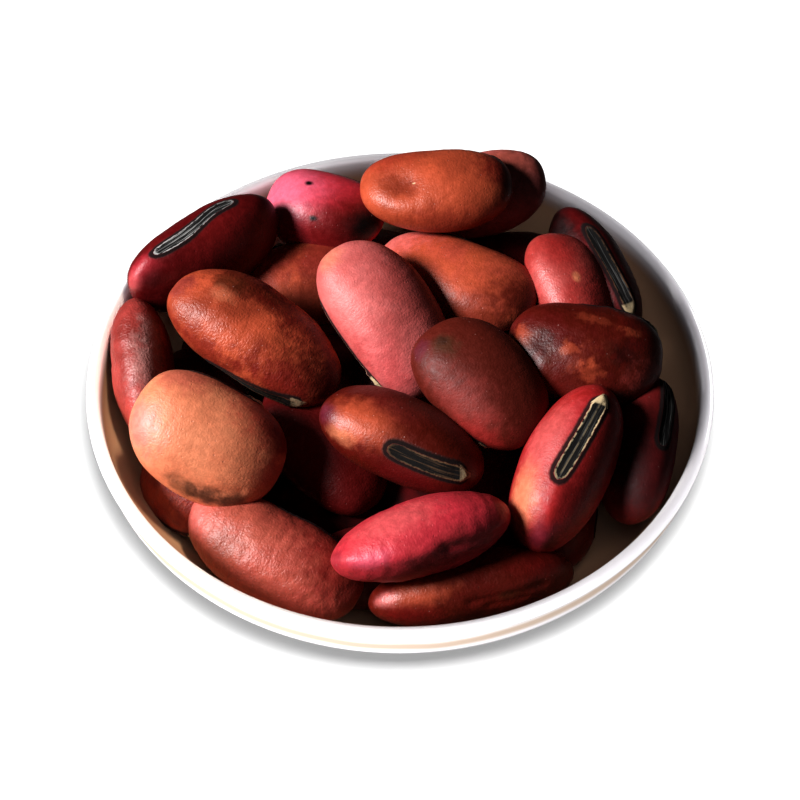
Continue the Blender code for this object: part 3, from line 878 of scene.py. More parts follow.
def skin_grain_group():
    """Make the effect of a dried skin: mottling, pale specks, fine relief and changing gloss."""
    group, given, made = new_group(
        "skin_grain",
        (
            ("Place", "NodeSocketVector", None),
            ("Mottling", "NodeSocketFloat", 0.4),
            ("Wrinkling", "NodeSocketFloat", 0.4),
            ("Roughness", "NodeSocketFloat", 0.4),
        ),
        (
            ("Mottle", "NodeSocketFloat"),
            ("Speck", "NodeSocketFloat"),
            ("Depth", "NodeSocketFloat"),
            ("Height", "NodeSocketFloat"),
            ("Gloss", "NodeSocketFloat"),
        ),
    )
    place = given["Place"]
    broad = clouds(group, place, 0.13, detail=3.0, roughness=0.55, distortion=0.4)
    fine = clouds(group, place, 0.9, detail=4.0, roughness=0.65)
    blotch = sum_node(
        group, "ADD", sum_node(group, "MULTIPLY", broad, 0.82), sum_node(group, "MULTIPLY", fine, 0.18)
    )
    mottle = sum_node(group, "MULTIPLY", eased(group, blotch, 0.38, 0.66), given["Mottling"], clamp=True)
    cells = add_node(group, "ShaderNodeTexVoronoi", {"Vector": place, "Scale": 0.75, "Randomness": 1.0})
    speck = eased(group, cells.outputs["Distance"], 0.14, 0.05)
    rare = eased(group, clouds(group, place, 0.35), 0.50, 0.62)
    crosswise = vector_node(group, "MULTIPLY", place, (1.4, 0.55, 0.55))
    folds = clouds(group, crosswise, 1.15, detail=3.0, roughness=0.55, distortion=0.5)
    wrinkle = sum_node(group, "MULTIPLY", folds, sum_node(group, "MULTIPLY", given["Wrinkling"], 0.46))
    pebble_share = sum_node(group, "ADD", sum_node(group, "MULTIPLY", given["Wrinkling"], 0.36), 0.13)
    pebble = sum_node(group, "MULTIPLY", clouds(group, place, 2.6, detail=2.0, roughness=0.5), pebble_share)
    height = sum_node(group, "ADD", wrinkle, pebble)
    height = sum_node(group, "SUBTRACT", height, sum_node(group, "MULTIPLY", speck, 0.12))
    wire(group, mottle, made["Mottle"])
    wire(group, sum_node(group, "MULTIPLY", speck, rare), made["Speck"])
    wire(group, eased(group, fine, 0.30, 0.75), made["Depth"])
    wire(group, height, made["Height"])
    gloss_change = eased(group, fine, 0.30, 0.80, -0.06, 0.10)
    gloss = sum_node(group, "ADD", given["Roughness"], gloss_change, clamp=True)
    wire(group, gloss, made["Gloss"])
    return group


def patch_group():
    """Make the effect of a soft, ragged patch round one point of the skin."""
    group, given, made = new_group(
        "skin_patch",
        (
            ("Place", "NodeSocketVector", None),
            ("Grain", "NodeSocketVector", None),
            ("Middle", "NodeSocketVector", None),
            ("Reach", "NodeSocketFloat", 0.3),
            ("Strength", "NodeSocketFloat", 0.5),
            ("Ragged", "NodeSocketFloat", 0.2),
        ),
        (("Mask", "NodeSocketFloat"),),
    )
    away = add_node(group, "ShaderNodeVectorMath", operation="DISTANCE")
    wire(group, given["Place"], away.inputs[0])
    wire(group, given["Middle"], away.inputs[1])
    share = sum_node(group, "DIVIDE", away.outputs["Value"], given["Reach"])
    ragged = clouds(group, given["Grain"], 0.55, detail=4.0, roughness=0.62)
    ragged = sum_node(group, "MULTIPLY", eased(group, ragged, 0.25, 0.75, -1.0, 1.0), given["Ragged"])
    edge = sum_node(group, "ADD", share, ragged)
    mask = eased(group, edge, 1.25, 0.25)
    wire(group, sum_node(group, "MULTIPLY", mask, given["Strength"]), made["Mask"])
    return group


def scar_group():
    """Make the effect of the seed scar: felt, its streaks, its raised edge, middle line and end cap, and a
    ring of painted shade in the groove round it.
    """
    group, given, made = new_group(
        "seed_scar",
        (("Place", "NodeSocketVector", None), ("Grain", "NodeSocketVector", None)),
        (
            ("Felt", "NodeSocketFloat"),
            ("Streak", "NodeSocketFloat"),
            ("Edge", "NodeSocketFloat"),
            ("Line", "NodeSocketFloat"),
            ("Cap", "NodeSocketFloat"),
            ("Gap", "NodeSocketFloat"),
        ),
    )
    parts = add_node(group, "ShaderNodeSeparateXYZ", {"Vector": given["Place"]}).outputs
    ragged = eased(group, clouds(group, given["Grain"], 1.5, detail=3.0), 0.25, 0.75, -0.05, 0.05)
    along = sum_node(group, "ABSOLUTE", parts["X"])
    across = sum_node(group, "ABSOLUTE", parts["Y"])
    away = sum_node(
        group, "ADD", sum_node(group, "POWER", along, float(SCAR_END_POWER)),
        sum_node(group, "POWER", across, 2.0),
    )
    away = sum_node(group, "SQRT", away)
    away = sum_node(group, "ADD", away, ragged)
    felt = eased(group, away, 1.02, 0.94)
    edge = sum_node(group, "MULTIPLY", eased(group, away, 0.76, 0.84), eased(group, away, 1.02, 0.95))
    edge = sum_node(group, "MULTIPLY", edge, eased(group, parts["X"], -1.2, 0.7, 0.40, 1.0))
    broken = eased(group, clouds(group, given["Grain"], 0.9, detail=3.0), 0.34, 0.50)
    line = sum_node(group, "MULTIPLY", eased(group, across, 0.16, 0.06), eased(group, along, 0.92, 0.80))
    stretched = vector_node(group, "MULTIPLY", given["Place"], (0.45, 2.1, 1.0))
    streak = eased(group, clouds(group, stretched, 1.3, detail=3.0, roughness=0.7), 0.50, 0.62)
    narrowing = eased(group, parts["X"], CAP_START, CAP_END, CAP_WIDTH + CAP_TIP, CAP_TIP)
    beside = sum_node(group, "ADD", sum_node(group, "SUBTRACT", across, narrowing), ragged)
    cap = sum_node(
        group, "MULTIPLY", eased(group, parts["X"], CAP_START - CAP_SOFTNESS, CAP_START + CAP_SOFTNESS),
        eased(group, beside, 0.08, -0.06),
    )
    cap = sum_node(group, "MULTIPLY", cap, eased(group, parts["X"], CAP_END, CAP_END - CAP_SOFTNESS))
    # Painted shade: a dark ring just outside the scar's edge stands for the shadow in the groove round it.
    groove_shade = sum_node(group, "MULTIPLY", eased(group, away, 0.98, 1.04), eased(group, away, 1.75, 1.35))
    wire(group, felt, made["Felt"])
    wire(group, streak, made["Streak"])
    wire(group, sum_node(group, "MULTIPLY", edge, broken), made["Edge"])
    wire(group, sum_node(group, "MULTIPLY", line, broken), made["Line"])
    wire(group, cap, made["Cap"])
    wire(group, groove_shade, made["Gap"])
    return group


def shared_groups():
    """Return the shared effects, made the first time they are asked for."""
    makers = {"skin_grain": skin_grain_group, "skin_patch": patch_group, "seed_scar": scar_group}
    for name, maker in makers.items():
        if name not in bpy.data.node_groups:
            maker()
    return {name: bpy.data.node_groups[name] for name in makers}


def new_surface(name):
    """Return a material with its node tree and Principled shader."""
    material = bpy.data.materials.new(name)
    material.use_nodes = True
    return material, material.node_tree, material.node_tree.nodes["Principled BSDF"]


def skin_material(name, look):
    """Return the material of one bean's skin and scar."""
    groups = shared_groups()
    material, tree, shader = new_surface(name + "_skin")
    place = mesh_value(tree, "bean_place")
    grain = mesh_value(tree, "bean_grain")
    skin = place_group(
        tree, groups["skin_grain"], place=grain, mottling=look.mottling,
        wrinkling=look.wrinkling, roughness=look.roughness,
    )
    colour = mixed(tree, skin["Mottle"], bean_colour(look.skin), bean_colour(look.mottle))
    for patch_colour, middle, reach, strength in look.patches:
        mask = place_group(
            tree, groups["skin_patch"], place=place, grain=grain, middle=middle, reach=reach,
            strength=strength, ragged=look.ragged,
        )["Mask"]
        colour = mixed(tree, mask, colour, bean_colour(patch_colour))
    shade = eased(tree, skin["Depth"], 0.0, 1.0, 0.88, 1.08)
    colour = mixed(tree, 1.0, colour, shade, "MULTIPLY")
    speck = sum_node(tree, "MULTIPLY", skin["Speck"], SPECK_SHARE)
    colour = mixed(tree, speck, colour, bean_colour("dust_and_sheen"))

    felt_name, streak_name, streak_share, edge_name, edge_share, line_share, cap_share = SCARS[look.scar]
    edge_colour = bean_colour(edge_name)
    scar = place_group(tree, groups["seed_scar"], place=mesh_value(tree, "scar_place"), grain=grain)
    streak = sum_node(tree, "MULTIPLY", scar["Streak"], streak_share)
    felt = mixed(tree, streak, bean_colour(felt_name), bean_colour(streak_name))
    felt = mixed(tree, sum_node(tree, "MULTIPLY", scar["Line"], line_share), felt, edge_colour)
    felt = mixed(tree, sum_node(tree, "MULTIPLY", scar["Edge"], edge_share), felt, edge_colour)
    # Painted shade in the groove round the scar.
    groove_shade = sum_node(tree, "MULTIPLY", scar["Gap"], SCAR_GROOVE_SHADE_SHARE)
    colour = mixed(tree, groove_shade, colour, bean_colour("black"))
    colour = mixed(tree, scar["Felt"], colour, felt)
    colour = mixed(tree, sum_node(tree, "MULTIPLY", scar["Cap"], cap_share), colour, bean_colour("cream"))

    dull = sum_node(tree, "MAXIMUM", scar["Felt"], scar["Gap"])
    rough = mixed_number(tree, dull, skin["Gloss"], FELT_ROUGHNESS)
    bump = add_node(
        tree, "ShaderNodeBump",
        {"Height": skin["Height"], "Strength": SKIN_BUMP_STRENGTH, "Distance": SKIN_BUMP_HEIGHT * MM},
    )
    shader.inputs["Specular IOR Level"].default_value = SKIN_SPECULAR
    wire(tree, colour, shader.inputs["Base Color"])
    wire(tree, rough, shader.inputs["Roughness"])
    wire(tree, bump.outputs["Normal"], shader.inputs["Normal"])
    return material


def glaze_material():
    """Return the dish's glaze, with a painted tan line of shade and reflection under the lip, painted tan
    shade down inside and no glaze on the foot's ring.
    """
    settings = bpy.context.scene.dish_settings
    material, tree, shader = new_surface("glaze")
    place = add_node(tree, "ShaderNodeTexCoord").outputs["Object"]
    parts = add_node(tree, "ShaderNodeSeparateXYZ", {"Vector": place}).outputs
    flat = vector_node(tree, "MULTIPLY", place, (1.0, 1.0, 0.0))
    radius = add_node(tree, "ShaderNodeVectorMath", operation="LENGTH")
    wire(tree, flat, radius.inputs[0])
    wobble = eased(tree, clouds(tree, place, 60.0), 0.2, 0.8, -GLAZE_WOBBLE * MM, GLAZE_WOBBLE * MM)
    height = sum_node(tree, "ADD", parts["Z"], wobble)
    facing = add_node(tree, "ShaderNodeTexCoord").outputs["Normal"]
    upward = add_node(tree, "ShaderNodeSeparateXYZ", {"Vector": facing}).outputs["Z"]
    outside = share_past(tree, radius.outputs["Value"], OUTER_SIDE_RADIUS)
    # Painted shade and reflection: the tan band under the lip.
    under_lip_shade = sum_node(
        tree, "MULTIPLY", share_past(tree, height, LIP_SHADE_LOW_EDGE), share_past(tree, height, LIP_SHADE_HIGH_EDGE)
    )
    under_lip_shade = sum_node(tree, "MULTIPLY", under_lip_shade, outside)
    broad = eased(tree, clouds(tree, place, 18.0, detail=3.0), 0.3, 0.7, 0.0, 0.05)
    colour = mixed(tree, broad, rgba(settings.glaze), rgba(settings.lip_shade_and_tan_tone))
    # Painted shade and warm bounce light on the inward faces below the lip.
    inner_shade = sum_node(
        tree, "MULTIPLY", share_past(tree, height, PAINTED_SHADE_EDGE), eased(tree, upward, *INNER_SIDE_SLOPE)
    )
    inner_shade = sum_node(tree, "MULTIPLY", inner_shade, sum_node(tree, "SUBTRACT", 1.0, outside))
    colour = mixed(tree, inner_shade, colour, rgba(settings.painted_inner_shade))
    colour = mixed(tree, under_lip_shade, colour, rgba(settings.lip_shade_and_tan_tone))
    on_ring = sum_node(
        tree, "MULTIPLY", share_past(tree, height, BARE_RING_HEIGHT),
        share_past(tree, radius.outputs["Value"], BARE_RING_RADIUS),
    )
    specks = eased(tree, clouds(tree, place, 2200.0), 0.35, 0.65, 0.0, 0.35)
    clay = mixed(tree, specks, rgba(settings.bare_clay), rgba(settings.lip_shade_and_tan_tone))
    colour = mixed(tree, on_ring, colour, clay)
    rough = eased(tree, on_ring, 0.0, 1.0, settings.glaze_roughness, BARE_RING_ROUGHNESS)
    waves = clouds(tree, place, 140.0)
    bump = add_node(
        tree, "ShaderNodeBump",
        {"Height": waves, "Strength": GLAZE_WAVE_STRENGTH, "Distance": GLAZE_WAVE_HEIGHT * MM},
    )
    wire(tree, colour, shader.inputs["Base Color"])
    wire(tree, rough, shader.inputs["Roughness"])
    wire(tree, bump.outputs["Normal"], shader.inputs["Normal"])
    return material


def core_material():
    """Return the surface of the core under the beans: maroon like the beans, clouded with black as painted
    shade for the heap's deep gaps.
    """
    material, tree, shader = new_surface("core_skin")
    place = add_node(tree, "ShaderNodeTexCoord").outputs["Object"]
    share = eased(tree, clouds(tree, place, 160.0, detail=3.0), 0.3, 0.7)
    colour = mixed(tree, share, bean_colour("black"), bean_colour("maroon"))
    wire(tree, colour, shader.inputs["Base Color"])
    shader.inputs["Roughness"].default_value = CORE_ROUGHNESS
    shader.inputs["Specular IOR Level"].default_value = CORE_SPECULAR
    return material


def add_piece(name, mesh, slot, *nodes):
    """Link a new object that rides on the body and stands for these nodes of the solid model."""
    piece = bpy.data.objects.new(name, mesh)
    bpy.context.scene.collection.objects.link(piece)
    mesh.shade_smooth()
    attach(piece, BODY)
    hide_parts(*nodes)
    return piece


def spaced(start, end, count):
    """Return evenly spaced values from start to end, both included."""
    return [start + (end - start) * step / (count - 1) for step in range(count)]


def wall_arc(centre, radius, low):
    """Return (radius, height) points on the full, rounded curve that the dish's wall follows."""
    power = 2.0 / WALL_FULLNESS
    points = []
    for angle in spaced(0.0, math.pi / 2, WALL_POINTS):
        out = (radius - centre) * max(math.cos(angle), 0.0) ** power
        down = (WALL_TOP - low) * math.sin(angle) ** power
        points.append((centre + out, WALL_TOP - down))
    return points


def dish_profile(bead_radius):
    """Return the dish's outline, from its floor up the inside, down its outer side and under the foot."""
    outline = [(0.0, FLOOR)]
    outline += list(reversed(wall_arc(INNER_WALL_CENTRE, INNER_WALL_RADIUS, FLOOR)))
    for angle in spaced(math.radians(BEAD_INNER_ANGLE), math.radians(BEAD_OUTER_ANGLE), BEAD_POINTS):
        outline.append(
            (
                LIP_BEAD_PATH_RADIUS + bead_radius * math.cos(angle),
                LIP_BEAD_HEIGHT + bead_radius * math.sin(angle),
            )
        )
    for radius, height in wall_arc(OUTER_WALL_CENTRE, OUTER_WALL_RADIUS, UNDERSIDE):
        radius += SHOULDER_SWELL * math.exp(-(((height - SHOULDER_HEIGHT) / SHOULDER_REACH) ** 2))
        if radius > FOOT_OUTER_RADIUS + FOOT_ROUNDING:
            outline.append((radius, height))
    outline += [(FOOT_OUTER_RADIUS, UNDERSIDE)]
    for angle in spaced(0.0, math.pi / 2, FOOT_ROUNDING_POINTS):
        outline.append(
            (
                FOOT_OUTER_RADIUS - FOOT_ROUNDING * (1.0 - math.cos(angle)),
                FOOT_ROUNDING * (1.0 - math.sin(angle)),
            )
        )
    for angle in spaced(math.pi / 2, 0.0, FOOT_ROUNDING_POINTS):
        outline.append(
            (
                FOOT_INNER_RADIUS + FOOT_ROUNDING * (1.0 - math.cos(angle)),
                FOOT_ROUNDING * (1.0 - math.sin(angle)),
            )
        )
    outline += [(FOOT_INNER_RADIUS, FOOT_RECESS), (0.0, FOOT_RECESS)]
    return outline


def turned_mesh(name, outline, steps):
    """Turn an outline of (radius, height) points in millimetres about the Z axis."""
    solid = bmesh.new()
    corners = [solid.verts.new((radius * MM, 0.0, height * MM)) for radius, height in outline]
    edges = [solid.edges.new(pair) for pair in zip(corners, corners[1:])]
    bmesh.ops.spin(
        solid, geom=corners + edges, cent=(0, 0, 0), axis=(0, 0, 1), angle=math.tau, steps=steps,
        use_merge=True,
    )
    bmesh.ops.remove_doubles(solid, verts=solid.verts, dist=WELD_GAP * MM)
    bmesh.ops.recalc_face_normals(solid, faces=solid.faces)
    if solid.calc_volume(signed=True) < 0:
        bmesh.ops.reverse_faces(solid, faces=solid.faces)
    mesh = bpy.data.meshes.new(name)
    solid.to_mesh(mesh)
    solid.free()
    return mesh


def unit_ball(cuts):
    """Return the corners and faces of a ball of even four-sided faces."""
    ball = bmesh.new()
    bmesh.ops.create_cube(ball, size=2.0)
    bmesh.ops.subdivide_edges(ball, edges=ball.edges[:], cuts=cuts, use_grid_fill=True)
    corners = []
    for corner in ball.verts:
        corners.append(Vector([math.tan(part * math.pi / 4) for part in corner.co]).normalized())
    faces = [[corner.index for corner in face.verts] for face in ball.faces]
    ball.free()
    return corners, faces


def bean_outline(direction):
    """Return where a plain bean's skin lies this way from its middle, on the scale of one."""
    flat = abs(direction.x) ** BEAN_OUTLINE_POWER + abs(direction.y) ** BEAN_OUTLINE_POWER
    swell = flat ** (BEAN_EDGE_POWER / BEAN_OUTLINE_POWER) + abs(direction.z) ** BEAN_EDGE_POWER
    return direction / swell ** (1.0 / BEAN_EDGE_POWER)


def outline_turn(share):
    """Return the angle round the outline, from its scarred side, of the point this far along the bean."""
    out = (1.0 - abs(share) ** BEAN_OUTLINE_POWER) ** (1.0 / BEAN_OUTLINE_POWER)
    return math.atan2(share, out)


def scar_place(point, thickness, look, half_width):
    """Return how far along and across the seed scar a point lies, where one is the scar's edge."""
    start = outline_turn(look.scar_from)
    end = outline_turn(look.scar_to)
    side = point.y * look.scar_side
    turn = math.atan2(point.x, side)
    along = (turn - (start + end) / 2) / ((end - start) / 2)
    middle = look.scar_lift + look.scar_slant * max(-SCAR_SLANT_END, min(SCAR_SLANT_END, along)) / 2
    middle += look.scar_wave * math.sin(SCAR_WAVES * along + SCAR_WAVE_START)
    across = (point.z * thickness / 2 - middle) / (half_width * look.scar_width)
    if side < 0.0:
        across += math.copysign(FAR_SIDE * -side, across)
    return Vector((along, across, 0.0))


def scar_height(scar, cap_share):
    """Return how far the skin rises at this place of the scar, in millimetres."""
    away = math.sqrt(min(abs(scar.x), 3.0) ** SCAR_END_POWER + min(scar.y * scar.y, 100.0))
    height = SCAR_RIM * math.exp(-(((away - 1.0) / SCAR_RIM_WIDTH) ** 2))
    if away < 1.0:
        height -= SCAR_SINK * (1.0 - away)
    if CAP_START - 0.1 < scar.x < CAP_END:
        narrowing = CAP_WIDTH * (CAP_END - scar.x) / (CAP_END - CAP_START) + CAP_TIP
        if abs(scar.y) < narrowing:
            grain = Vector((scar.x * CAP_GRAIN_ALONG, scar.y * CAP_GRAIN_ACROSS, cap_share))
            ragged = 0.8 + 0.4 * noise.noise(grain)
            rise = (1.0 - abs(scar.y) / narrowing) ** 0.5 * min((CAP_END - scar.x) * CAP_END_SLOPE, 1.0)
            height += CAP_HEIGHT * cap_share * ragged * rise
    return height


def distance_to_line(point, line):
    """Return the least distance from a point to a line of points."""
    least = float("inf")
    for start, end in zip(line, line[1:]):
        span = end - start
        share = max(0.0, min(1.0, (point - start).dot(span) / span.length_squared))
        least = min(least, (point - start - span * share).length)
    return least


def skin_height(point, relief, lines, dents, seed):
    """Return how far the skin rises above the plain bean here, in millimetres."""
    at = point + Vector((seed, -seed, seed))
    height = relief.uneven * noise.noise(at / SWELL_GAP) - relief.sink
    crosswise = Vector((at.x, at.y * FOLD_STRETCH, at.z * FOLD_STRETCH)) / relief.wrinkle_gap
    fold = noise.noise(crosswise + noise.noise_vector(at / FOLD_WANDER_GAP) * FOLD_WANDER)
    height += relief.wrinkle * (1.0 - 2.0 * abs(fold))
    height += PORE_SHARE * relief.wrinkle * noise.noise(at / PORE_GAP)
    if relief.lump:
        height += relief.lump * max(0.0, noise.noise(at / relief.lump_gap)) * LUMP_STRENGTH
    for middle, reach, depth in dents:
        height -= depth * math.exp(-(((point - middle).length / reach) ** 2))
    for line, half_width, rise in lines:
        height += rise * math.exp(-((distance_to_line(point, line) / half_width) ** 2))
    return height


def scaled(point, size):
    """Return a point on the scale of one as a place on a bean of this size."""
    bend = BEAN_BEND * (point[0] ** 2 - BEAN_BEND_REST)
    return Vector((point[0] * size[0] / 2, (point[1] + bend) * size[1] / 2, point[2] * size[2] / 2))


def bean_corners(name, place, directions, seed):
    """Return each corner of one bean: where it lies, its place on the bean, its grain and scar place."""
    settings = bpy.context.scene.bean_settings
    look = LOOKS.get(name, LOOKS["buried"])
    relief = RELIEFS.get(name, Relief())
    x, y, z, heading, tilt, roll, *size = place
    turn = Euler((math.radians(roll), math.radians(-tilt), math.radians(heading)), "XYZ")
    matrix = Matrix.Translation(Vector((x, y, z)) * MM) @ turn.to_matrix().to_4x4()
    dents = [(scaled(middle, size), reach, depth) for middle, reach, depth in relief.dents]
    lines = [([scaled(p, size) for p in line], width, rise) for line, width, rise in relief.creases]
    half_width = settings.scar_half_width / MM
    shift = Vector((seed * SEED_STEP, 0.0, 0.0))
    corners = []
    for direction in directions:
        unit = bean_outline(direction)
        girth = 1.0 + relief.taper * unit.x
        swelled = Vector((unit.x, unit.y * girth, unit.z * girth))
        point = scaled(swelled, size)
        outward = Vector((unit.x / size[0], unit.y / size[1], unit.z / size[2])).normalized()
        scar = scar_place(unit, size[2], look, half_width)
        height = skin_height(point, relief, lines, dents, seed * SEED_STEP) * settings.relief
        height += scar_height(scar, SCARS[look.scar][-1])
        skin = point + outward * height
        corners.append((matrix @ (skin * MM), unit, point + shift, scar))
    return corners


def beans_mesh(name, members, cuts):
    """Return one mesh that holds these beans, each with its own material."""
    directions, ball_faces = unit_ball(cuts)
    tables = {**BEANS, **BURIED_BEANS}
    order = list(tables)
    corners = []
    faces = []
    slots = []
    mesh = bpy.data.meshes.new(name)
    for slot, member in enumerate(members):
        first = len(corners)
        corners += bean_corners(member, tables[member], directions, order.index(member))
        faces += [[first + index for index in face] for face in ball_faces]
        slots += [slot] * len(ball_faces)
        mesh.materials.append(skin_material(member, LOOKS.get(member, LOOKS["buried"])))
    mesh.from_pydata([corner[0] for corner in corners], [], faces)
    mesh.polygons.foreach_set("material_index", slots)
    for column, label in ((1, "bean_place"), (2, "bean_grain"), (3, "scar_place")):
        values = [part for corner in corners for part in corner[column]]
        mesh.attributes.new(label, "FLOAT_VECTOR", "POINT").data.foreach_set("vector", values)
    mesh.update()
    return mesh


def core_mesh():
    """Return the core of the heap, with lumps the size of beans."""
    rise = CORE_TOP - CORE_LOW
    outline = [
        (CORE_RADIUS * math.cos(angle) ** CORE_FULLNESS, CORE_LOW + rise * math.sin(angle))
        for angle in spaced(math.pi / 2, 0.0, CORE_POINTS)
    ]
    outline[0] = (0.0, CORE_TOP)
    mesh = turned_mesh("core", outline + [(0.0, CORE_LOW)], CORE_STEPS)
    for corner in mesh.vertices:
        share = max(0.0, (corner.co.z / MM - CORE_LOW) / rise)
        lump = noise.noise(corner.co / (CORE_LUMP_GAP * MM))
        corner.co += corner.co.normalized() * CORE_LUMP * share * lump * MM
    return mesh


class BEANS_OT_dish(bpy.types.Operator):
    """Add the glazed dish"""

    bl_idname = "beans.dish"
    bl_label = "Add dish"

    def execute(self, context):
        outline = dish_profile(context.scene.dish_settings.lip_bead_radius / MM)
        mesh = turned_mesh("glazed_dish", outline, TURNED_STEPS)
        mesh.materials.append(glaze_material())
        add_piece("glazed_dish", mesh, GLAZE_SLOT, "dish")
        return {"FINISHED"}


class BEANS_OT_core(bpy.types.Operator):
    """Add the core that the beans lie on"""

    bl_idname = "beans.core"
    bl_label = "Add core"

    def execute(self, context):
        mesh = core_mesh()
        mesh.materials.append(core_material())
        add_piece("heap_core", mesh, SKIN_SLOT, "beans")
        return {"FINISHED"}


class BEANS_OT_beans(bpy.types.Operator):
    """Add every bean of the heap, one piece for each kind"""

    bl_idname = "beans.beans"
    bl_label = "Add beans"

    def execute(self, context):
        for kind, members in KINDS.items():
            cuts = BURIED_BEAN_CUTS if kind == "buried_beans" else BEAN_CUTS
            add_piece(kind, beans_mesh(kind, members, cuts), SKIN_SLOT, "beans")
        return {"FINISHED"}


def floor_material():
    """Return the pale floor: white to the camera where its own lamp lights it, dull to all other rays."""
    settings = bpy.context.scene.stage_settings
    material, tree, shader = new_surface("floor")
    shader.inputs["Roughness"].default_value = 1.0
    shader.inputs["Specular IOR Level"].default_value = 0.0
    shader.inputs["Emission Strength"].default_value = settings.floor_glow
    seen = add_node(tree, "ShaderNodeLightPath").outputs["Is Camera Ray"]
    colour = mixed(tree, seen, rgba(settings.floor_bounce), rgba(settings.floor))
    wire(tree, colour, shader.inputs["Base Color"])
    wire(tree, mixed(tree, seen, UNLIT, WHITE), shader.inputs["Emission Color"])
    return material


def place_lamp(lamp, place, aim, lit):
    """Place a lamp so that it faces a point and lights these objects alone."""
    item = bpy.data.objects.new(lamp.name, lamp)
    item.location = place
    item.rotation_euler = (aim - place).to_track_quat("-Z", "Y").to_euler()
    bpy.context.scene.collection.objects.link(item)
    receivers = bpy.data.collections.new(lamp.name + "_lit")
    for receiver in lit:
        receivers.objects.link(receiver)
    item.light_linking.receiver_collection = receivers


def add_area_light(name, place, aim, width, power, colour, lit):
    """Add a square light that faces a point and lights these objects alone."""
    lamp = bpy.data.lights.new(name, "AREA")
    lamp.shape = "SQUARE"
    lamp.size = width
    lamp.energy = power
    lamp.color = colour
    place_lamp(lamp, place, aim, lit)


def round_place(heading, elevation, distance, aim):
    """Return the place this far from a point, at this heading and elevation."""
    flat = math.cos(elevation)
    away = Vector((flat * math.cos(heading), flat * math.sin(heading), math.sin(elevation)))
    return aim + distance * away


def lamp_place(lamp, aim):
    """Return the place of a fixed lamp that faces a point."""
    return round_place(math.radians(lamp.heading), math.radians(lamp.elevation), lamp.distance, aim)


def add_fixed_light(name, lamp, power, aim, lit):
    """Add one of the fixed square lights."""
    add_area_light(name, lamp_place(lamp, aim), aim, lamp.width, power, lamp.colour, lit)


def add_floor():
    """Add the floor and return it."""
    half = FLOOR_HALF_WIDTH
    corners = [(-half, -half, 0.0), (half, -half, 0.0), (half, half, 0.0), (-half, half, 0.0)]
    mesh = bpy.data.meshes.new("floor")
    mesh.from_pydata(corners, [], [(0, 1, 2, 3)])
    mesh.materials.append(floor_material())
    floor = bpy.data.objects.new("floor", mesh)
    bpy.context.scene.collection.objects.link(floor)
    return floor


def add_heap_lights(settings, aim):
    """Add the main light and the weak one across from it, which light the beans alone."""
    heap = [bpy.data.objects[name] for name in (*KINDS, "heap_core")]
    place = round_place(settings.key_heading, settings.key_height, settings.key_distance, aim)
    add_area_light("key", place, aim, settings.key_size, settings.key_strength, KEY_COLOUR, heap)
    add_fixed_light("fill", FILL_LAMP, settings.fill_strength, aim, heap)


def add_dish_lights(settings, aim):
    """Add the lights of the dish: from above, from the left, down its left wall and low all round."""
    dish = [bpy.data.objects["glazed_dish"]]
    add_fixed_light("top", TOP_LAMP, settings.top_strength, aim, dish)
    add_fixed_light("rim", RIM_LAMP, settings.rim_strength, aim, dish)
    left_wall = Vector(WALL_LAMP_AIM) * MM
    glow = bpy.data.lights.new("glow", "SPOT")
    glow.energy = settings.glow_strength
    glow.color = WALL_LAMP.colour
    glow.spot_size = math.radians(WALL_LAMP_CONE)
    glow.spot_blend = 1.0
    glow.shadow_soft_size = WALL_LAMP.width
    place_lamp(glow, lamp_place(WALL_LAMP, left_wall), left_wall, dish)
    for lamp in LOW_LAMPS:
        add_fixed_light("low", lamp, settings.low_strength, aim, dish)


def add_floor_light(settings, floor):
    """Add the small light whose shadow of the dish shows on the floor."""
    aim = Vector((0.0, 0.0, 0.0))
    place = round_place(settings.floor_heading, settings.floor_height, FLOOR_LAMP_DISTANCE, aim)
    power = settings.floor_strength
    add_area_light("floor", place, aim, FLOOR_LAMP_WIDTH, power, FLOOR_LAMP_COLOUR, [floor])


def add_sky(settings):
    """Add the faint light from all round."""
    world = bpy.data.worlds.new("studio")
    world.use_nodes = True
    sky = world.node_tree.nodes["Background"]
    sky.inputs["Color"].default_value = rgba(settings.sky)
    sky.inputs["Strength"].default_value = settings.sky_strength
    bpy.context.scene.world = world


def add_camera(settings):
    """Add the camera, at the photo's angle, and the picture's contrast."""
    scene = bpy.context.scene
    lens = bpy.data.cameras.new("camera")
    lens.sensor_width = CAMERA_FRAME_WIDTH
    lens.lens = settings.lens
    lens.clip_start = CAMERA_NEAR_END
    camera = bpy.data.objects.new("camera", lens)
    target = Vector([part * MM for part in CAMERA_AIM])
    ahead = Vector((0.0, math.cos(settings.camera_elevation), -math.sin(settings.camera_elevation)))
    camera.location = target - ahead * settings.camera_distance
    camera.rotation_euler = ahead.to_track_quat("-Z", "Y").to_euler()
    scene.collection.objects.link(camera)
    scene.camera = camera
    scene.view_settings.view_transform = "Standard"
    scene.view_settings.gamma = 1.0 / settings.contrast


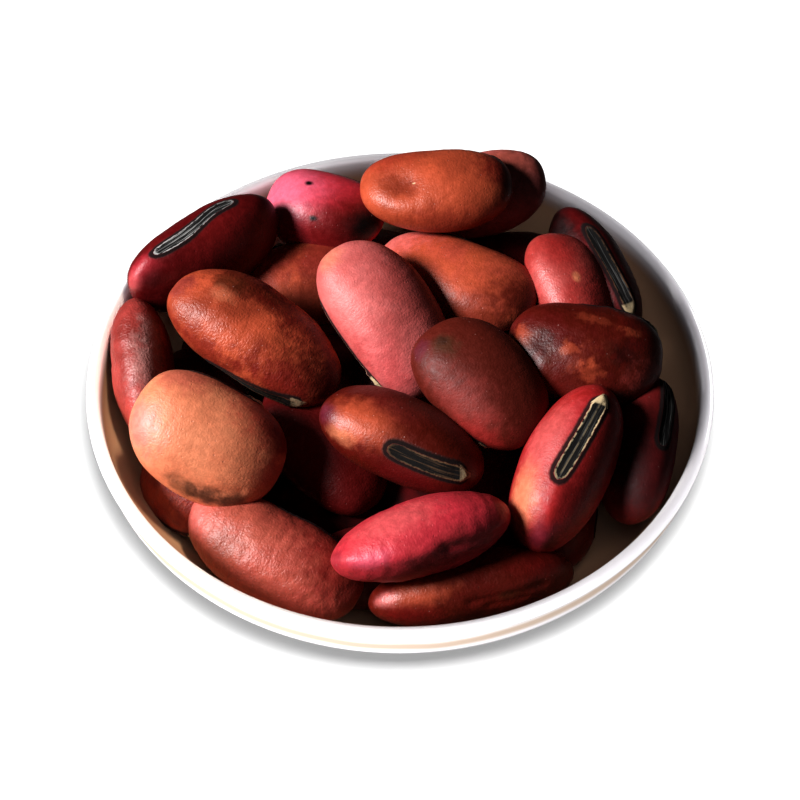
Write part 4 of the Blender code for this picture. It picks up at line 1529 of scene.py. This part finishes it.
class BEANS_OT_stage(bpy.types.Operator):
    """Add the floor, the lights and the camera"""

    bl_idname = "beans.stage"
    bl_label = "Add stage"

    def execute(self, context):
        settings = context.scene.stage_settings
        aim = Vector((0.0, 0.0, LAMP_AIM_HEIGHT * MM))
        floor = add_floor()
        add_heap_lights(settings, aim)
        add_dish_lights(settings, aim)
        add_floor_light(settings, floor)
        add_sky(settings)
        add_camera(settings)
        return {"FINISHED"}


class BEANS_PT_panel(bpy.types.Panel):
    """Lists what can be added and what can be changed"""

    bl_idname = "BEANS_PT_panel"
    bl_label = "Bowl of beans"
    bl_space_type = "VIEW_3D"
    bl_region_type = "UI"
    bl_category = "Beans"

    def draw(self, context):
        for operator in OPERATORS:
            self.layout.operator(operator.bl_idname)
        for name in SETTINGS:
            box = self.layout.box()
            settings = getattr(context.scene, name)
            for key in settings.bl_rna.properties.keys():
                if key not in ("rna_type", "name"):
                    box.prop(settings, key)


OPERATORS = (BEANS_OT_dish, BEANS_OT_core, BEANS_OT_beans, BEANS_OT_stage)
SETTINGS = {"dish_settings": DishSettings, "bean_settings": BeanSettings, "stage_settings": StageSettings}


def register():
    """Add the settings, operators and panel to Blender."""
    for name, group in SETTINGS.items():
        bpy.utils.register_class(group)
        setattr(bpy.types.Scene, name, bpy.props.PointerProperty(type=group))
    for operator in OPERATORS:
        bpy.utils.register_class(operator)
    bpy.utils.register_class(BEANS_PT_panel)


def unregister():
    """Take the settings, operators and panel out of Blender."""
    bpy.utils.unregister_class(BEANS_PT_panel)
    for operator in reversed(OPERATORS):
        bpy.utils.unregister_class(operator)
    for name, group in SETTINGS.items():
        delattr(bpy.types.Scene, name)
        bpy.utils.unregister_class(group)


def clear_start_up():
    """Remove the start-up scene's own objects, but none of the solid model's."""
    kept = set(frame["nodes"].values()) | set(frame["bodies"].values())
    for item in list(bpy.data.objects):
        if item not in kept:
            bpy.data.objects.remove(item, do_unlink=True)


def main():
    """Make the whole scene."""
    register()
    clear_start_up()
    bpy.ops.beans.dish()
    bpy.ops.beans.core()
    bpy.ops.beans.beans()
    bpy.ops.beans.stage()


if __name__ == "__main__":
    main()
